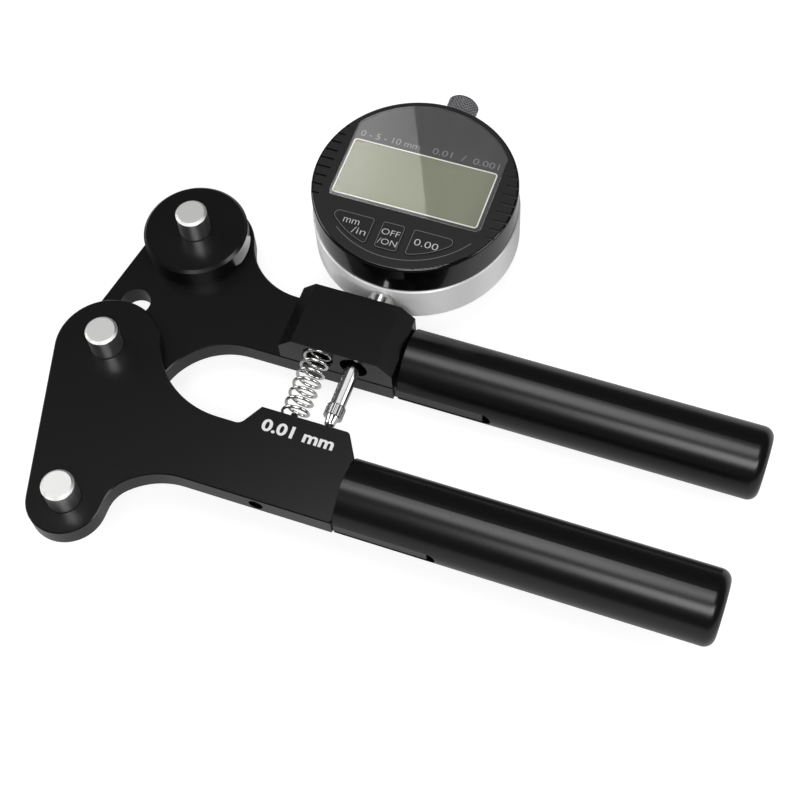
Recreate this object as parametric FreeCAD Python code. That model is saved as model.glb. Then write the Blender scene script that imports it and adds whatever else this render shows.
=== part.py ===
import FreeCAD, Part
import math
import os

from FreeCAD import Vector

# A hand tool that measures the tension of a bicycle spoke. Two flat levers turn on one pivot
# and carry three steel posts that bend the spoke sideways. A digital indicator on the back
# lever reads how far the front lever has turned.
#
# Units are millimetres. +X runs along the handles, +Z points out of the display.
# The origin is on the centre post's axis, half way up its free end, where the spoke lies.

# ---------------------------------------------------------------- driving dimensions
POST_R = 4.5            # radius of each spoke post
POST_FREE = 8.1         # how far a post stands above its plate
POST_CHAMFER = 0.7
PIVOT = (0.0, 0.0)      # the centre post is also the pivot
OUTER_POST = (8.1, 43.4)
END_POST = (8.8, -46.0)

PLATE_T = 6.1           # thickness of both lever plates
PLATE_GAP = 0.3         # filled by the thrust washer
EDGE_BREAK = 0.3        # chamfer round the plates' outlines

DISC_R = 15.1           # spacer disc under the outer post
DISC_CHAMFER = 0.8

BAR_R = 10.15           # handle bars
BAR_LENGTH = 101.0
BAR_FILLET = 3.0
BACK_BAR = (79.2, 25.0)     # left end and centre line of the back handle, x and y
FRONT_BAR = (78.2, -20.9)
TANG_END = 104.0        # the plates' tangs reach this far into the bars
TANG_HALF = 9.5         # half the width of a tang
TANG_T = 5.0            # the tangs are milled thinner from above; the bars' ends bear on the step

BLOCK_X = (45.2, 78.4)  # clamp block that holds the indicator's stem
BLOCK_Y = (14.8, 34.5)
BLOCK_H = 9.95
BLOCK_CHAMFER = 4.1

INDICATOR = (67.3, 67.5)    # centre of the round indicator
CASE_R = 29.6           # metal case
CASE_H = 12.4
CASE_WALL = 2.8
BEZEL_R = 29.1         # black front housing
BEZEL_H = 10.2
STEM_R = 4.0
SPINDLE_R = 2.15
SPINDLE_ABOVE_PLATE = 5.2   # height of the spindle's axis over the back plate

SPRING_X = 56.8         # return spring
SPRING_R = 3.54         # from its axis to the middle of the wire
SPRING_WIRE = 0.45      # radius of the wire
SPRING_TURNS = 9

TAB_Y = -4.5            # edge of the front plate that the spindle and the spring bear on
SQUEEZE_DEG = 8.0       # how far the levers turn before the handles nearly touch
KEY_TRAVEL = 0.4

RUNNING_FIT = 0.05      # radial clearance of everything that turns or slides in a bore
M2, M4, M5 = 1.0, 2.0, 2.5  # radii of the screws' threads

# ---------------------------------------------------------------- levels and places
PLATE_TOP = -POST_FREE / 2
POST_TOP = POST_FREE / 2
FRONT_BOTTOM = PLATE_TOP - PLATE_T
FRONT_MID = PLATE_TOP - PLATE_T / 2
BACK_TOP = FRONT_BOTTOM - PLATE_GAP
BACK_BOTTOM = BACK_TOP - PLATE_T
BACK_MID = BACK_TOP - PLATE_T / 2
SPINDLE_Z = BACK_TOP + SPINDLE_ABOVE_PLATE
BLOCK_TOP = BACK_TOP + BLOCK_H
BEZEL_BOTTOM = SPINDLE_Z + 5.65
BEZEL_TOP = BEZEL_BOTTOM + BEZEL_H
CASE_BOTTOM = BEZEL_BOTTOM - CASE_H
GX, GY = INDICATOR
FRONT_Y = GY - CASE_R   # where the case comes nearest to the block, and its far side
REAR_Y = GY + CASE_R


# ---------------------------------------------------------------- solids
def cylinder(x, y, radius, low, high):
    """Upright round bar between two levels."""
    return Part.makeCylinder(radius, high - low, Vector(x, y, low))


def cylinder_y(x, z, radius, start, end):
    """Round bar along Y."""
    return Part.makeCylinder(radius, end - start, Vector(x, start, z), Vector(0, 1, 0))


def tube(x, y, outer, inner, low, high):
    return cylinder(x, y, outer, low, high).cut(cylinder(x, y, inner, low, high))


def tube_y(x, z, outer, inner, start, end):
    return cylinder_y(x, z, outer, start, end).cut(cylinder_y(x, z, inner, start, end))


def cone(x, y, low_radius, high_radius, low, high):
    return Part.makeCone(low_radius, high_radius, high - low, Vector(x, y, low))


def box(x_range, y_range, z_range):
    size = [high - low for low, high in (x_range, y_range, z_range)]
    return Part.makeBox(*size, Vector(x_range[0], y_range[0], z_range[0]))


def hexagon(corner_r):
    return Part.Face(Part.makePolygon([Vector(*on_circle(PIVOT, corner_r, 60 * i), 0) for i in range(7)]))


def hex_socket(x, y, low, corner_r, depth):
    face = hexagon(corner_r)
    face.translate(Vector(x, y, low))
    return face.extrude(Vector(0, 0, depth))


# ---------------------------------------------------------------- points and outlines in plan
def on_circle(centre, radius, degrees):
    turn = math.radians(degrees)
    return (centre[0] + radius * math.cos(turn), centre[1] + radius * math.sin(turn))


def direction(start, end):
    return math.degrees(math.atan2(end[1] - start[1], end[0] - start[0]))


def tangent_angle(first, first_r, second, second_r, side):
    """Direction from both centres to the line that touches both circles on one side."""
    opening = math.degrees(math.acos((first_r - second_r) / math.dist(first, second)))
    return direction(first, second) + side * opening


def touching_centre(lobe, lobe_r, hollow_r, hollow_y):
    """Centre, right of the lobe and at hollow_y, of a hollow arc that touches the lobe."""
    reach = lobe_r + hollow_r
    return (lobe[0] + math.sqrt(reach**2 - (hollow_y - lobe[1]) ** 2), hollow_y)


class Outline:
    """A closed outline in plan, walked from point to point."""

    def __init__(self, start):
        self.first = start
        self.at = start
        self.edges = []

    def line(self, *points):
        for point in points:
            if math.dist(point, self.at) > 1e-6:
                self.edges.append(Part.LineSegment(Vector(*self.at, 0), Vector(*point, 0)).toShape())
            self.at = point

    def arc(self, centre, radius, start, end):
        """Arc between two directions seen from its centre, in degrees."""
        self.line(on_circle(centre, radius, start))
        points = [on_circle(centre, radius, a) for a in (start, (start + end) / 2, end)]
        self.edges.append(Part.Arc(*[Vector(*p, 0) for p in points]).toShape())
        self.at = points[2]

    def solid(self, low, high):
        self.line(self.first)
        face = Part.Face(Part.Wire(self.edges))
        face.translate(Vector(0, 0, low))
        return face.extrude(Vector(0, 0, high - low))


def flat_edges(shape, level):
    """The edges of a shape that lie in one level."""
    boxes = [(edge, edge.BoundBox) for edge in shape.Edges]
    return [edge for edge, b in boxes if abs(b.ZMin - level) < 1e-4 and abs(b.ZMax - level) < 1e-4]


def break_edges(shape, size, *levels):
    for level in levels:
        shape = shape.makeChamfer(size, flat_edges(shape, level))
    return shape


# ---------------------------------------------------------------- screws and springs
HEAD_RATIO = 1.9        # a countersunk head's radius over its thread's
HEAD_ROOM = 0.1


def countersunk_screw(x, y, head_z, tip_z, thread_r):
    """A countersunk screw put in from below, with a hexagon socket in its head."""
    head_r = HEAD_RATIO * thread_r
    head_h = head_r - thread_r
    head = cone(x, y, head_r, thread_r, head_z, head_z + head_h)
    shank = cylinder(x, y, thread_r, head_z + head_h, tip_z)
    return head.fuse(shank).cut(hex_socket(x, y, head_z, 0.95 * thread_r, 1.1 * thread_r))


def countersunk_hole(x, y, low, high, thread_r):
    head_r = HEAD_RATIO * thread_r + HEAD_ROOM
    sink = cone(x, y, head_r, thread_r, low, low + head_r - thread_r)
    return sink.fuse(cylinder(x, y, thread_r, low, high))


def coil(x, height, start, end, radius, wire_r, turns, first_deg):
    """A right-handed coil spring along Y; height gives its axis's level at each y."""
    count = 8 * turns
    points = []
    for i in range(count + 1):
        y = start + (end - start) * i / count
        turn = math.radians(first_deg - 360 * turns * i / count)
        points.append(Vector(x + radius * math.cos(turn), y, height(y) + radius * math.sin(turn)))
    path = Part.BSplineCurve()
    path.interpolate(Points=points)
    ring = Part.Wire(Part.makeCircle(wire_r, points[0], path.tangent(path.FirstParameter)[0]))
    return Part.Wire(path.toShape()).makePipeShell([ring], True, True)


# ---------------------------------------------------------------- posts and pivot
SPIGOT_R = 3.0          # turned-down foot of the outer and end posts
SPIGOT_SHORT = 2.4      # how far the foot stops short of its plate's underside
POST_TAP = 4.0          # the tapped hole runs this far up into the post
POST_SCREW_LENGTH = 8.0
SEAT_R = 4.2            # the centre post's foot, pressed into the front plate
JOURNAL_R = 4.0         # its shaft in the back plate
BUSH_R = 6.0
THRUST_R = 8.0
WASHER_R, WASHER_T = 8.5, 1.0
CLIP_R, CLIP_T = 6.0, 0.9
CLIP_GROOVE_R = 3.4
CLIP_MOUTH = 2.4
CLIP_LOW = BACK_BOTTOM - WASHER_T - CLIP_T
JOURNAL_END = CLIP_LOW - 1.0


def post_top(x, y, foot):
    post = cylinder(x, y, POST_R, foot, POST_TOP)
    return break_edges(post, POST_CHAMFER, POST_TOP)


def screwed_post(x, y, plate_bottom):
    """A post whose foot sits in the plate, with a tapped hole for its screw from below."""
    foot = plate_bottom + SPIGOT_SHORT
    post = post_top(x, y, PLATE_TOP).fuse(cylinder(x, y, SPIGOT_R, foot, PLATE_TOP))
    return post.cut(cylinder(x, y, M4, foot, PLATE_TOP + POST_TAP))


def post_screw(x, y, plate_bottom):
    return countersunk_screw(x, y, plate_bottom, plate_bottom + POST_SCREW_LENGTH, M4)


def centre_post():
    """Post, pressed foot and pivot shaft, turned in one piece."""
    post = post_top(*PIVOT, PLATE_TOP)
    post = post.fuse(cylinder(*PIVOT, SEAT_R, FRONT_BOTTOM, PLATE_TOP))
    post = post.fuse(cylinder(*PIVOT, JOURNAL_R, JOURNAL_END, FRONT_BOTTOM))
    return post.cut(tube(*PIVOT, JOURNAL_R + 1, CLIP_GROOVE_R, CLIP_LOW, CLIP_LOW + CLIP_T))


def pivot_bush():
    return tube(*PIVOT, BUSH_R, JOURNAL_R + RUNNING_FIT, BACK_BOTTOM, BACK_TOP)


def thrust_washer():
    return tube(*PIVOT, THRUST_R, JOURNAL_R + RUNNING_FIT, BACK_TOP, FRONT_BOTTOM)


def pivot_washer():
    return tube(*PIVOT, WASHER_R, JOURNAL_R, BACK_BOTTOM - WASHER_T, BACK_BOTTOM)


def pivot_clip():
    """Open retaining ring in the groove of the centre post."""
    ring = tube(*PIVOT, CLIP_R, CLIP_GROOVE_R, CLIP_LOW, CLIP_LOW + CLIP_T)
    return ring.cut(box((-CLIP_MOUTH / 2, CLIP_MOUTH / 2), (-CLIP_R - 1, 0), (CLIP_LOW, CLIP_LOW + CLIP_T)))


STOP_PIN = (0.0, -10.0)     # stop pin, fixed in the back plate
STOP_PIN_R = 1.5
STOP_PIN_SHORT = 0.5        # it ends this far above the back plate's underside
GROOVE_ROOM = 0.3
GROOVE_DEPTH = 2.6


def stop_pin():
    tip = FRONT_BOTTOM + GROOVE_DEPTH - GROOVE_ROOM
    return cylinder(*STOP_PIN, STOP_PIN_R, BACK_BOTTOM + STOP_PIN_SHORT, tip)


def stop_groove():
    """Arc groove under the front plate: the stop pin runs from end to end as the levers turn."""
    low, high = FRONT_BOTTOM, FRONT_BOTTOM + GROOVE_DEPTH
    radius = math.dist(PIVOT, STOP_PIN)
    wide = STOP_PIN_R + GROOVE_ROOM
    start = direction(PIVOT, STOP_PIN)
    ends = (start, start - SQUEEZE_DEG)
    wedge = Outline(PIVOT)
    wedge.line(*[on_circle(PIVOT, 3 * radius, end) for end in ends[::-1]])
    groove = tube(*PIVOT, radius + wide, radius - wide, low, high).common(wedge.solid(low, high))
    for end in ends:
        groove = groove.fuse(cylinder(*on_circle(PIVOT, radius, end), wide, low, high))
    return groove


# ---------------------------------------------------------------- front lever
FRONT_LOBE_R = 14.8
END_LOBE_R = 10.4
FRONT_NEAR_Y = -31.0
FRONT_INNER_Y = -11.05
FRONT_HOLLOW_R = 26.0
FRONT_STEP_X = 78.0
THROAT_R = 9.0          # small hollow beside the end lobe, and the wide sweep after it
SWEEP_R = 20.0
SWEEP_DEG = 45.0
TAB_X = (48.3, 73.5)
TAB_CORNER_R = 1.5
TAB_SLANT_DEG = 30.0    # how far the tab's end leans back towards the handle
RAMP_DEG = 60.0         # slope between the inner edge and the tab
RAMP_FOOT_R = 2.5
TANG_SCREW_X = (86.5, 97.5)
SEAT_SCREW_RECESS = 1.5
SEAT_TIP_R, SEAT_TIP_LENGTH = 1.0, 1.6


def tang_step(left_end, plate_bottom):
    """What is milled off a tang's upper side, from the bar's left end on."""
    start, y = left_end
    return box((start, TANG_END + 1), (y - BAR_R, y + BAR_R), (plate_bottom + TANG_T, plate_bottom + PLATE_T))


def front_plate_outline():
    left = tangent_angle(PIVOT, FRONT_LOBE_R, END_POST, END_LOBE_R, -1)
    hollow = touching_centre(PIVOT, FRONT_LOBE_R, FRONT_HOLLOW_R, FRONT_INNER_Y + FRONT_HOLLOW_R)
    touch = direction(PIVOT, hollow)
    outline = Outline(on_circle(END_POST, END_LOBE_R, left))
    outline.arc(END_POST, END_LOBE_R, left, 0)
    rise = math.sin(math.radians(SWEEP_DEG))
    throat_y = FRONT_NEAR_Y - SWEEP_R * (1 - rise) - THROAT_R * rise
    outline.arc((END_POST[0] + END_LOBE_R + THROAT_R, throat_y), THROAT_R, 180, 180 - SWEEP_DEG)
    outline.arc(on_circle(outline.at, SWEEP_R, -SWEEP_DEG), SWEEP_R, 180 - SWEEP_DEG, 90)
    near, far = FRONT_BAR[1] - TANG_HALF, FRONT_BAR[1] + TANG_HALF
    outline.line((FRONT_STEP_X, FRONT_NEAR_Y), (FRONT_STEP_X, near), (TANG_END, near))
    slant = math.radians(TAB_SLANT_DEG)
    outline.line((TANG_END, far), (TAB_X[1] + (TAB_Y - far) * math.tan(slant), far))
    corner_x = TAB_X[1] - TAB_CORNER_R * (1 - math.sin(slant)) / math.cos(slant)
    outline.arc((corner_x, TAB_Y - TAB_CORNER_R), TAB_CORNER_R, TAB_SLANT_DEG, 90)
    outline.line((TAB_X[0], TAB_Y))
    foot_x = TAB_X[0] - (TAB_Y - FRONT_INNER_Y) / math.tan(math.radians(RAMP_DEG))
    foot_x -= RAMP_FOOT_R * math.tan(math.radians(RAMP_DEG / 2))
    outline.arc((foot_x, FRONT_INNER_Y + RAMP_FOOT_R), RAMP_FOOT_R, RAMP_DEG - 90, -90)
    outline.arc(hollow, FRONT_HOLLOW_R, 270, 180 + touch)
    outline.arc(PIVOT, FRONT_LOBE_R, touch, left + 360)
    return outline


def front_lever_plate():
    plate = front_plate_outline().solid(FRONT_BOTTOM, PLATE_TOP)
    plate = break_edges(plate, EDGE_BREAK, PLATE_TOP, FRONT_BOTTOM)
    plate = plate.cut(cylinder(*PIVOT, SEAT_R, FRONT_BOTTOM, PLATE_TOP))
    plate = plate.cut(cylinder(*END_POST, SPIGOT_R, FRONT_BOTTOM + SPIGOT_SHORT, PLATE_TOP))
    plate = plate.cut(countersunk_hole(*END_POST, FRONT_BOTTOM, PLATE_TOP, M4))
    plate = plate.cut(cylinder_y(SPRING_X, FRONT_MID, M4, FRONT_NEAR_Y - 1, TAB_Y + 1))
    for x in TANG_SCREW_X:
        plate = plate.cut(cylinder(x, FRONT_BAR[1], M5, FRONT_BOTTOM, PLATE_TOP))
    return plate.cut(stop_groove()).cut(tang_step(FRONT_BAR, FRONT_BOTTOM))


def spring_seat_screw():
    """Set screw through the front plate; its slim tip centres the return spring."""
    start = FRONT_NEAR_Y + SEAT_SCREW_RECESS
    body = cylinder_y(SPRING_X, FRONT_MID, M4, start, TAB_Y)
    tip = cylinder_y(SPRING_X, FRONT_MID, SEAT_TIP_R, TAB_Y, TAB_Y + SEAT_TIP_LENGTH)
    socket = hexagon(0.58 * M4)
    socket.rotate(Vector(0, 0, 0), Vector(1, 0, 0), -90)
    socket.translate(Vector(SPRING_X, start, FRONT_MID))
    return body.fuse(tip).cut(socket.extrude(Vector(0, 1.1 * M4, 0)))


# ---------------------------------------------------------------- handles
CAP_HEAD_R = 4.25       # cap screws in counterbored holes under each bar
CAP_HEAD_RECESS = 0.8
COUNTERBORE_ROOM = 0.2
COUNTERBORE_DEPTH = 4.4
CAP_SCREW_REACH = 6.5   # how far the screws' tips stand above the tang's middle
CAP_HOLE_REACH = 7.0


def handle_bar(left_end, mid_z):
    """Round bar with a milled slot for the tang and two screw holes from below."""
    start, y = left_end
    bar = Part.makeCylinder(BAR_R, BAR_LENGTH, Vector(start, y, mid_z), Vector(1, 0, 0))
    right = [e for e in bar.Edges if e.BoundBox.XMin > start + BAR_LENGTH - 1e-3]
    left = [e for e in bar.Edges if e.BoundBox.XMax < start + 1e-3]
    bar = bar.makeFillet(BAR_FILLET, right).makeChamfer(EDGE_BREAK, left)
    across = (y - BAR_R - 1, y + BAR_R + 1)
    slot_low = mid_z - PLATE_T / 2
    slot = box((start - 1, TANG_END), across, (slot_low, slot_low + TANG_T))
    bar = bar.cut(slot.fuse(cylinder_y(TANG_END, slot_low + TANG_T / 2, TANG_T / 2, *across)))
    low = mid_z - BAR_R
    for x in TANG_SCREW_X:
        bar = bar.cut(cylinder(x, y, M5, low, mid_z + CAP_HOLE_REACH))
        bar = bar.cut(cylinder(x, y, CAP_HEAD_R + COUNTERBORE_ROOM, low - 1, low + COUNTERBORE_DEPTH))
    return bar


def tang_screws(y, mid_z):
    """Two cap screws from below that hold a handle on its tang."""
    low = mid_z - BAR_R + CAP_HEAD_RECESS
    seat = mid_z - BAR_R + COUNTERBORE_DEPTH
    screws = []
    for x in TANG_SCREW_X:
        head = cylinder(x, y, CAP_HEAD_R, low, seat).cut(hex_socket(x, y, low, 0.92 * M5, 0.88 * M5))
        screws.append(head.fuse(cylinder(x, y, M5, seat, mid_z + CAP_SCREW_REACH)))
    return Part.Compound(screws)


# ---------------------------------------------------------------- back lever
BACK_LOBE = (1.4, 0.0)
BACK_LOBE_R = 14.8
OUTER_LOBE = (9.6, 43.1)
OUTER_LOBE_R = 15.0
BACK_NEAR_Y = 14.6
BACK_STEP_X = 78.4
BACK_HOLLOW_R = 19.7
FAR_HOLLOW_R = 19.8
HANG_HOLE = (-1.0, 18.6)
HANG_HOLE_R = 4.3
BLOCK_SCREWS = [(x, y) for x in (48.9, 74.9) for y in (19.5, 29.5)]
BLOCK_SCREW_REACH = 6.0     # how far the block's screws stand in it
CLAMP_SCREW = (GX, 26.0)
CLAMP_RECESS = 0.6
POCKET_R = 4.2          # blind pocket for the return spring
POCKET_DEPTH = 8.0
POCKET_CHAMFER = 0.4


def back_plate_outline():
    near = touching_centre(BACK_LOBE, BACK_LOBE_R, BACK_HOLLOW_R, BACK_NEAR_Y - BACK_HOLLOW_R)
    tang_near, tang_far = BACK_BAR[1] - TANG_HALF, BACK_BAR[1] + TANG_HALF
    far = touching_centre(OUTER_LOBE, OUTER_LOBE_R, FAR_HOLLOW_R, tang_far + FAR_HOLLOW_R)
    left = tangent_angle(BACK_LOBE, BACK_LOBE_R, OUTER_LOBE, OUTER_LOBE_R, 1)
    outline = Outline(on_circle(BACK_LOBE, BACK_LOBE_R, left))
    outline.arc(BACK_LOBE, BACK_LOBE_R, left, 360 + direction(BACK_LOBE, near))
    outline.arc(near, BACK_HOLLOW_R, 180 + direction(BACK_LOBE, near), 90)
    outline.line((BACK_STEP_X, BACK_NEAR_Y), (BACK_STEP_X, tang_near), (TANG_END, tang_near))
    outline.line((TANG_END, tang_far))
    outline.arc(far, FAR_HOLLOW_R, 270, 180 + direction(OUTER_LOBE, far))
    outline.arc(OUTER_LOBE, OUTER_LOBE_R, direction(OUTER_LOBE, far), left)
    return outline


def back_lever_plate():
    plate = back_plate_outline().solid(BACK_BOTTOM, BACK_TOP)
    plate = break_edges(plate, EDGE_BREAK, BACK_TOP, BACK_BOTTOM)
    plate = plate.cut(cylinder(*PIVOT, BUSH_R, BACK_BOTTOM, BACK_TOP))
    plate = plate.cut(cylinder(*HANG_HOLE, HANG_HOLE_R, BACK_BOTTOM, BACK_TOP))
    plate = plate.cut(cylinder(*OUTER_POST, SPIGOT_R, BACK_BOTTOM + SPIGOT_SHORT, BACK_TOP))
    plate = plate.cut(cylinder(*STOP_PIN, STOP_PIN_R, BACK_BOTTOM, BACK_TOP))
    plate = plate.cut(cylinder(*CLAMP_SCREW, M5, BACK_BOTTOM, BACK_TOP))
    for x, y in BLOCK_SCREWS + [OUTER_POST]:
        plate = plate.cut(countersunk_hole(x, y, BACK_BOTTOM, BACK_TOP, M4))
    for x in TANG_SCREW_X:
        plate = plate.cut(cylinder(x, BACK_BAR[1], M5, BACK_BOTTOM, BACK_TOP))
    return plate.cut(tang_step(BACK_BAR, BACK_BOTTOM))


def spacer_disc():
    """Disc that lifts the outer post to the level of the front plate."""
    disc = cylinder(*OUTER_POST, DISC_R, BACK_TOP, PLATE_TOP)
    disc = break_edges(disc, DISC_CHAMFER, PLATE_TOP)
    return disc.cut(cylinder(*OUTER_POST, SPIGOT_R, BACK_TOP, PLATE_TOP))


def gauge_block():
    """Block with chamfered top edges, a bore for the stem and a blind pocket for the spring."""
    left, right = BLOCK_X
    near, far = BLOCK_Y
    slope = BLOCK_TOP - BLOCK_CHAMFER
    section = [(left, BACK_TOP), (right, BACK_TOP), (right, slope), (right - BLOCK_CHAMFER, BLOCK_TOP),
               (left + BLOCK_CHAMFER, BLOCK_TOP), (left, slope), (left, BACK_TOP)]
    profile = Part.Face(Part.makePolygon([Vector(x, near, z) for x, z in section]))
    block = profile.extrude(Vector(0, far - near, 0))
    block = block.cut(cylinder_y(GX, SPINDLE_Z, STEM_R, near, far))
    block = block.cut(cylinder_y(SPRING_X, SPINDLE_Z, POCKET_R, near, near + POCKET_DEPTH))
    mouth = Part.makeCone(POCKET_R + POCKET_CHAMFER, POCKET_R, POCKET_CHAMFER,
                          Vector(SPRING_X, near, SPINDLE_Z), Vector(0, 1, 0))
    block = block.cut(mouth)
    for x, y in BLOCK_SCREWS:
        block = block.cut(cylinder(x, y, M4, BACK_TOP, BACK_TOP + BLOCK_SCREW_REACH + 1))
    return block.cut(cylinder(*CLAMP_SCREW, M5, BACK_TOP, SPINDLE_Z))


def gauge_block_screws():
    tip = BACK_TOP + BLOCK_SCREW_REACH
    return Part.Compound([countersunk_screw(x, y, BACK_BOTTOM, tip, M4) for x, y in BLOCK_SCREWS])


def stem_clamp_screw():
    """Set screw from below that locks the indicator's stem in the block."""
    low = BACK_BOTTOM + CLAMP_RECESS
    screw = cylinder(*CLAMP_SCREW, M5, low, SPINDLE_Z - STEM_R)
    return screw.cut(hex_socket(*CLAMP_SCREW, low, 0.58 * M5, M5))


# ---------------------------------------------------------------- return spring
def spring_height(y):
    """The spring's axis falls from the pocket's level to the front plate's middle."""
    fall = max(0.0, (BLOCK_Y[0] - y) / (BLOCK_Y[0] - TAB_Y))
    return SPINDLE_Z + fall * (FRONT_MID - SPINDLE_Z)


def return_spring():
    """Pushes the front lever's tab away from the block."""
    start = TAB_Y + SPRING_WIRE + 0.1
    end = BLOCK_Y[0] + POCKET_DEPTH - SPRING_WIRE - 0.1
    return coil(SPRING_X, spring_height, start, end, SPRING_R, SPRING_WIRE, SPRING_TURNS, 293)


# ---------------------------------------------------------------- indicator case
CASE_EDGE = 0.35
CASE_INNER = CASE_R - CASE_WALL
WEB_T = 1.2             # web across the case that carries the electronics
WEB_LOW = BEZEL_BOTTOM - WEB_T
STEM_END = BLOCK_Y[0] + 7.0     # the stem stops deep in the block, so the bore's mouth stays open
STEM_BORE_R = 2.6       # hole through the stem, between its two guide bushes
STEM_BUSH_LENGTH = 6.0
UPPER_BUSH_R = 3.6
UPPER_BUSH_DEPTH = 4.5
COLLAR_R, COLLAR_T = 4.5, 1.2   # flange of the upper bush, outside the case
GUIDE_X = GX + 5.6      # rod beside the spindle that stops it from turning
GUIDE_R = 0.8
GUIDE_DEPTH = 1.2       # the rod's hole stops this far inside the case's far side
COVER_T = 2.3
COVER_R = CASE_R - 2.0
COVER_BOTTOM = CASE_BOTTOM - COVER_T
COVER_SCREWS = [on_circle(INDICATOR, 24.3, angle) for angle in (45, 135, 225, 315)]
COVER_SCREW_REACH = 4.5
LUG_R = 2.6
BATTERY = (GX + 10.5, GY + 2.0)
BATTERY_R, BATTERY_H = 10.0, 2.4
BATTERY_ROOM = 0.25
CUP_WALL, CUP_H, CUP_ROOF = 1.4, 2.4, 0.8
LID_R, LID_T = 11.6, 1.4
COIN_SLOT = (12.0, 1.8, 0.8)    # length, width and depth


def gauge_case():
    """Turned metal ring with a web across it; open to the front housing and to the back cover."""
    case = cylinder(GX, GY, CASE_R, CASE_BOTTOM, BEZEL_BOTTOM)
    case = break_edges(case, CASE_EDGE, CASE_BOTTOM, BEZEL_BOTTOM)
    case = case.cut(cylinder(GX, GY, CASE_INNER, CASE_BOTTOM, WEB_LOW))
    for x, y in COVER_SCREWS:
        lug = cylinder(x, y, LUG_R, CASE_BOTTOM, WEB_LOW)
        case = case.fuse(lug.common(cylinder(GX, GY, CASE_INNER + 0.5, CASE_BOTTOM, WEB_LOW)))
    for x, y in COVER_SCREWS:
        case = case.cut(cylinder(x, y, M2, CASE_BOTTOM, CASE_BOTTOM + COVER_SCREW_REACH + 0.5))
    case = case.cut(cylinder_y(GX, SPINDLE_Z, STEM_R, FRONT_Y - 1, FRONT_Y + CASE_WALL + 1))
    case = case.cut(cylinder_y(GX, SPINDLE_Z, UPPER_BUSH_R, REAR_Y - UPPER_BUSH_DEPTH, REAR_Y))
    case = case.cut(cylinder_y(GUIDE_X, SPINDLE_Z, GUIDE_R, REAR_Y - CASE_WALL - 1, REAR_Y - GUIDE_DEPTH))
    return case.removeSplitter()


def gauge_stem():
    return tube_y(GX, SPINDLE_Z, STEM_R, STEM_BORE_R, STEM_END, FRONT_Y + CASE_WALL)


def stem_bushes():
    """A guide bush in each end of the stem."""
    spans = ((STEM_END, STEM_END + STEM_BUSH_LENGTH),
             (FRONT_Y + CASE_WALL - STEM_BUSH_LENGTH, FRONT_Y + CASE_WALL))
    inner = SPINDLE_R + RUNNING_FIT
    return Part.Compound([tube_y(GX, SPINDLE_Z, STEM_BORE_R, inner, *span) for span in spans])


def upper_bush():
    """Flanged bush that guides the spindle where it leaves the far side of the case."""
    inner = SPINDLE_R + RUNNING_FIT
    body = tube_y(GX, SPINDLE_Z, UPPER_BUSH_R, inner, REAR_Y - UPPER_BUSH_DEPTH, REAR_Y)
    return body.fuse(tube_y(GX, SPINDLE_Z, COLLAR_R, inner, REAR_Y, REAR_Y + COLLAR_T))


def guide_rod():
    return cylinder_y(GUIDE_X, SPINDLE_Z, GUIDE_R, FRONT_Y + CASE_WALL + 2, REAR_Y - GUIDE_DEPTH)


def back_cover():
    """Cover with a cup for the battery and a recess for the battery's lid."""
    cover = cylinder(GX, GY, COVER_R, COVER_BOTTOM, CASE_BOTTOM)
    cover = break_edges(cover, 2 * EDGE_BREAK, COVER_BOTTOM)
    cover = cover.fuse(cylinder(*BATTERY, BATTERY_R + CUP_WALL, CASE_BOTTOM, CASE_BOTTOM + CUP_H))
    roof = CASE_BOTTOM + CUP_H - CUP_ROOF
    cover = cover.cut(cylinder(*BATTERY, BATTERY_R + BATTERY_ROOM, COVER_BOTTOM + LID_T, roof))
    cover = cover.cut(cylinder(*BATTERY, LID_R, COVER_BOTTOM, COVER_BOTTOM + LID_T))
    for x, y in COVER_SCREWS:
        cover = cover.cut(countersunk_hole(x, y, COVER_BOTTOM, CASE_BOTTOM, M2))
    return cover


def back_cover_screws():
    tip = CASE_BOTTOM + COVER_SCREW_REACH
    return Part.Compound([countersunk_screw(x, y, COVER_BOTTOM, tip, M2) for x, y in COVER_SCREWS])


def battery():
    low = COVER_BOTTOM + LID_T
    return break_edges(cylinder(*BATTERY, BATTERY_R, low, low + BATTERY_H), EDGE_BREAK, low)


def battery_lid():
    """Round lid with a slot for a coin."""
    x, y = BATTERY
    length, width, depth = COIN_SLOT
    slot = box((x - length / 2, x + length / 2), (y - width / 2, y + width / 2),
               (COVER_BOTTOM, COVER_BOTTOM + depth))
    return cylinder(*BATTERY, LID_R, COVER_BOTTOM, COVER_BOTTOM + LID_T).cut(slot)


# ---------------------------------------------------------------- front housing and display
FACE_T = 1.8
HOUSING_WALL = 2.0
HOUSING_FILLET = 0.8
FRONT_X = GX - 0.6      # the keys sit a little off the housing's centre line
WINDOW_HALF = 22.28
WINDOW_Y = GY - 10.3    # straight foot of the window; its top is an arc round the face's centre
WINDOW_R = 27.4
WINDOW_CORNER = 1.5
WINDOW_ROOM = 0.06
LENS_T = 1.2
LEDGE = 0.6             # ledge all round that the lens sits on
PANEL_HALF = 21.5
PANEL_Y = (GY - 9.1, GY + 11.0)
PANEL_T = 1.8
PANEL_TOP = BEZEL_TOP - LENS_T - 0.15
RIB_COUNT = 9           # grip grooves at each side of the face
RIB_PITCH = 3.05
RIB_LOW_Y = GY - 11.25
RIB_INNER = 24.5
RIB_WIDTH, RIB_DEPTH = 0.7, 0.6
BOARD_Z, BOARD_T = BEZEL_BOTTOM + 1.0, 1.2
BOARD_R = 25.6
SWITCH_HALF, SWITCH_H = 1.8, 2.2
SWITCH_TOP = BOARD_Z + BOARD_T + SWITCH_H
HOLDER_HALF = 19.0      # block on the board that carries the display panel
SENSOR = (7.0, 16.0, 1.25)  # half width, length along the spindle and thickness


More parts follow.
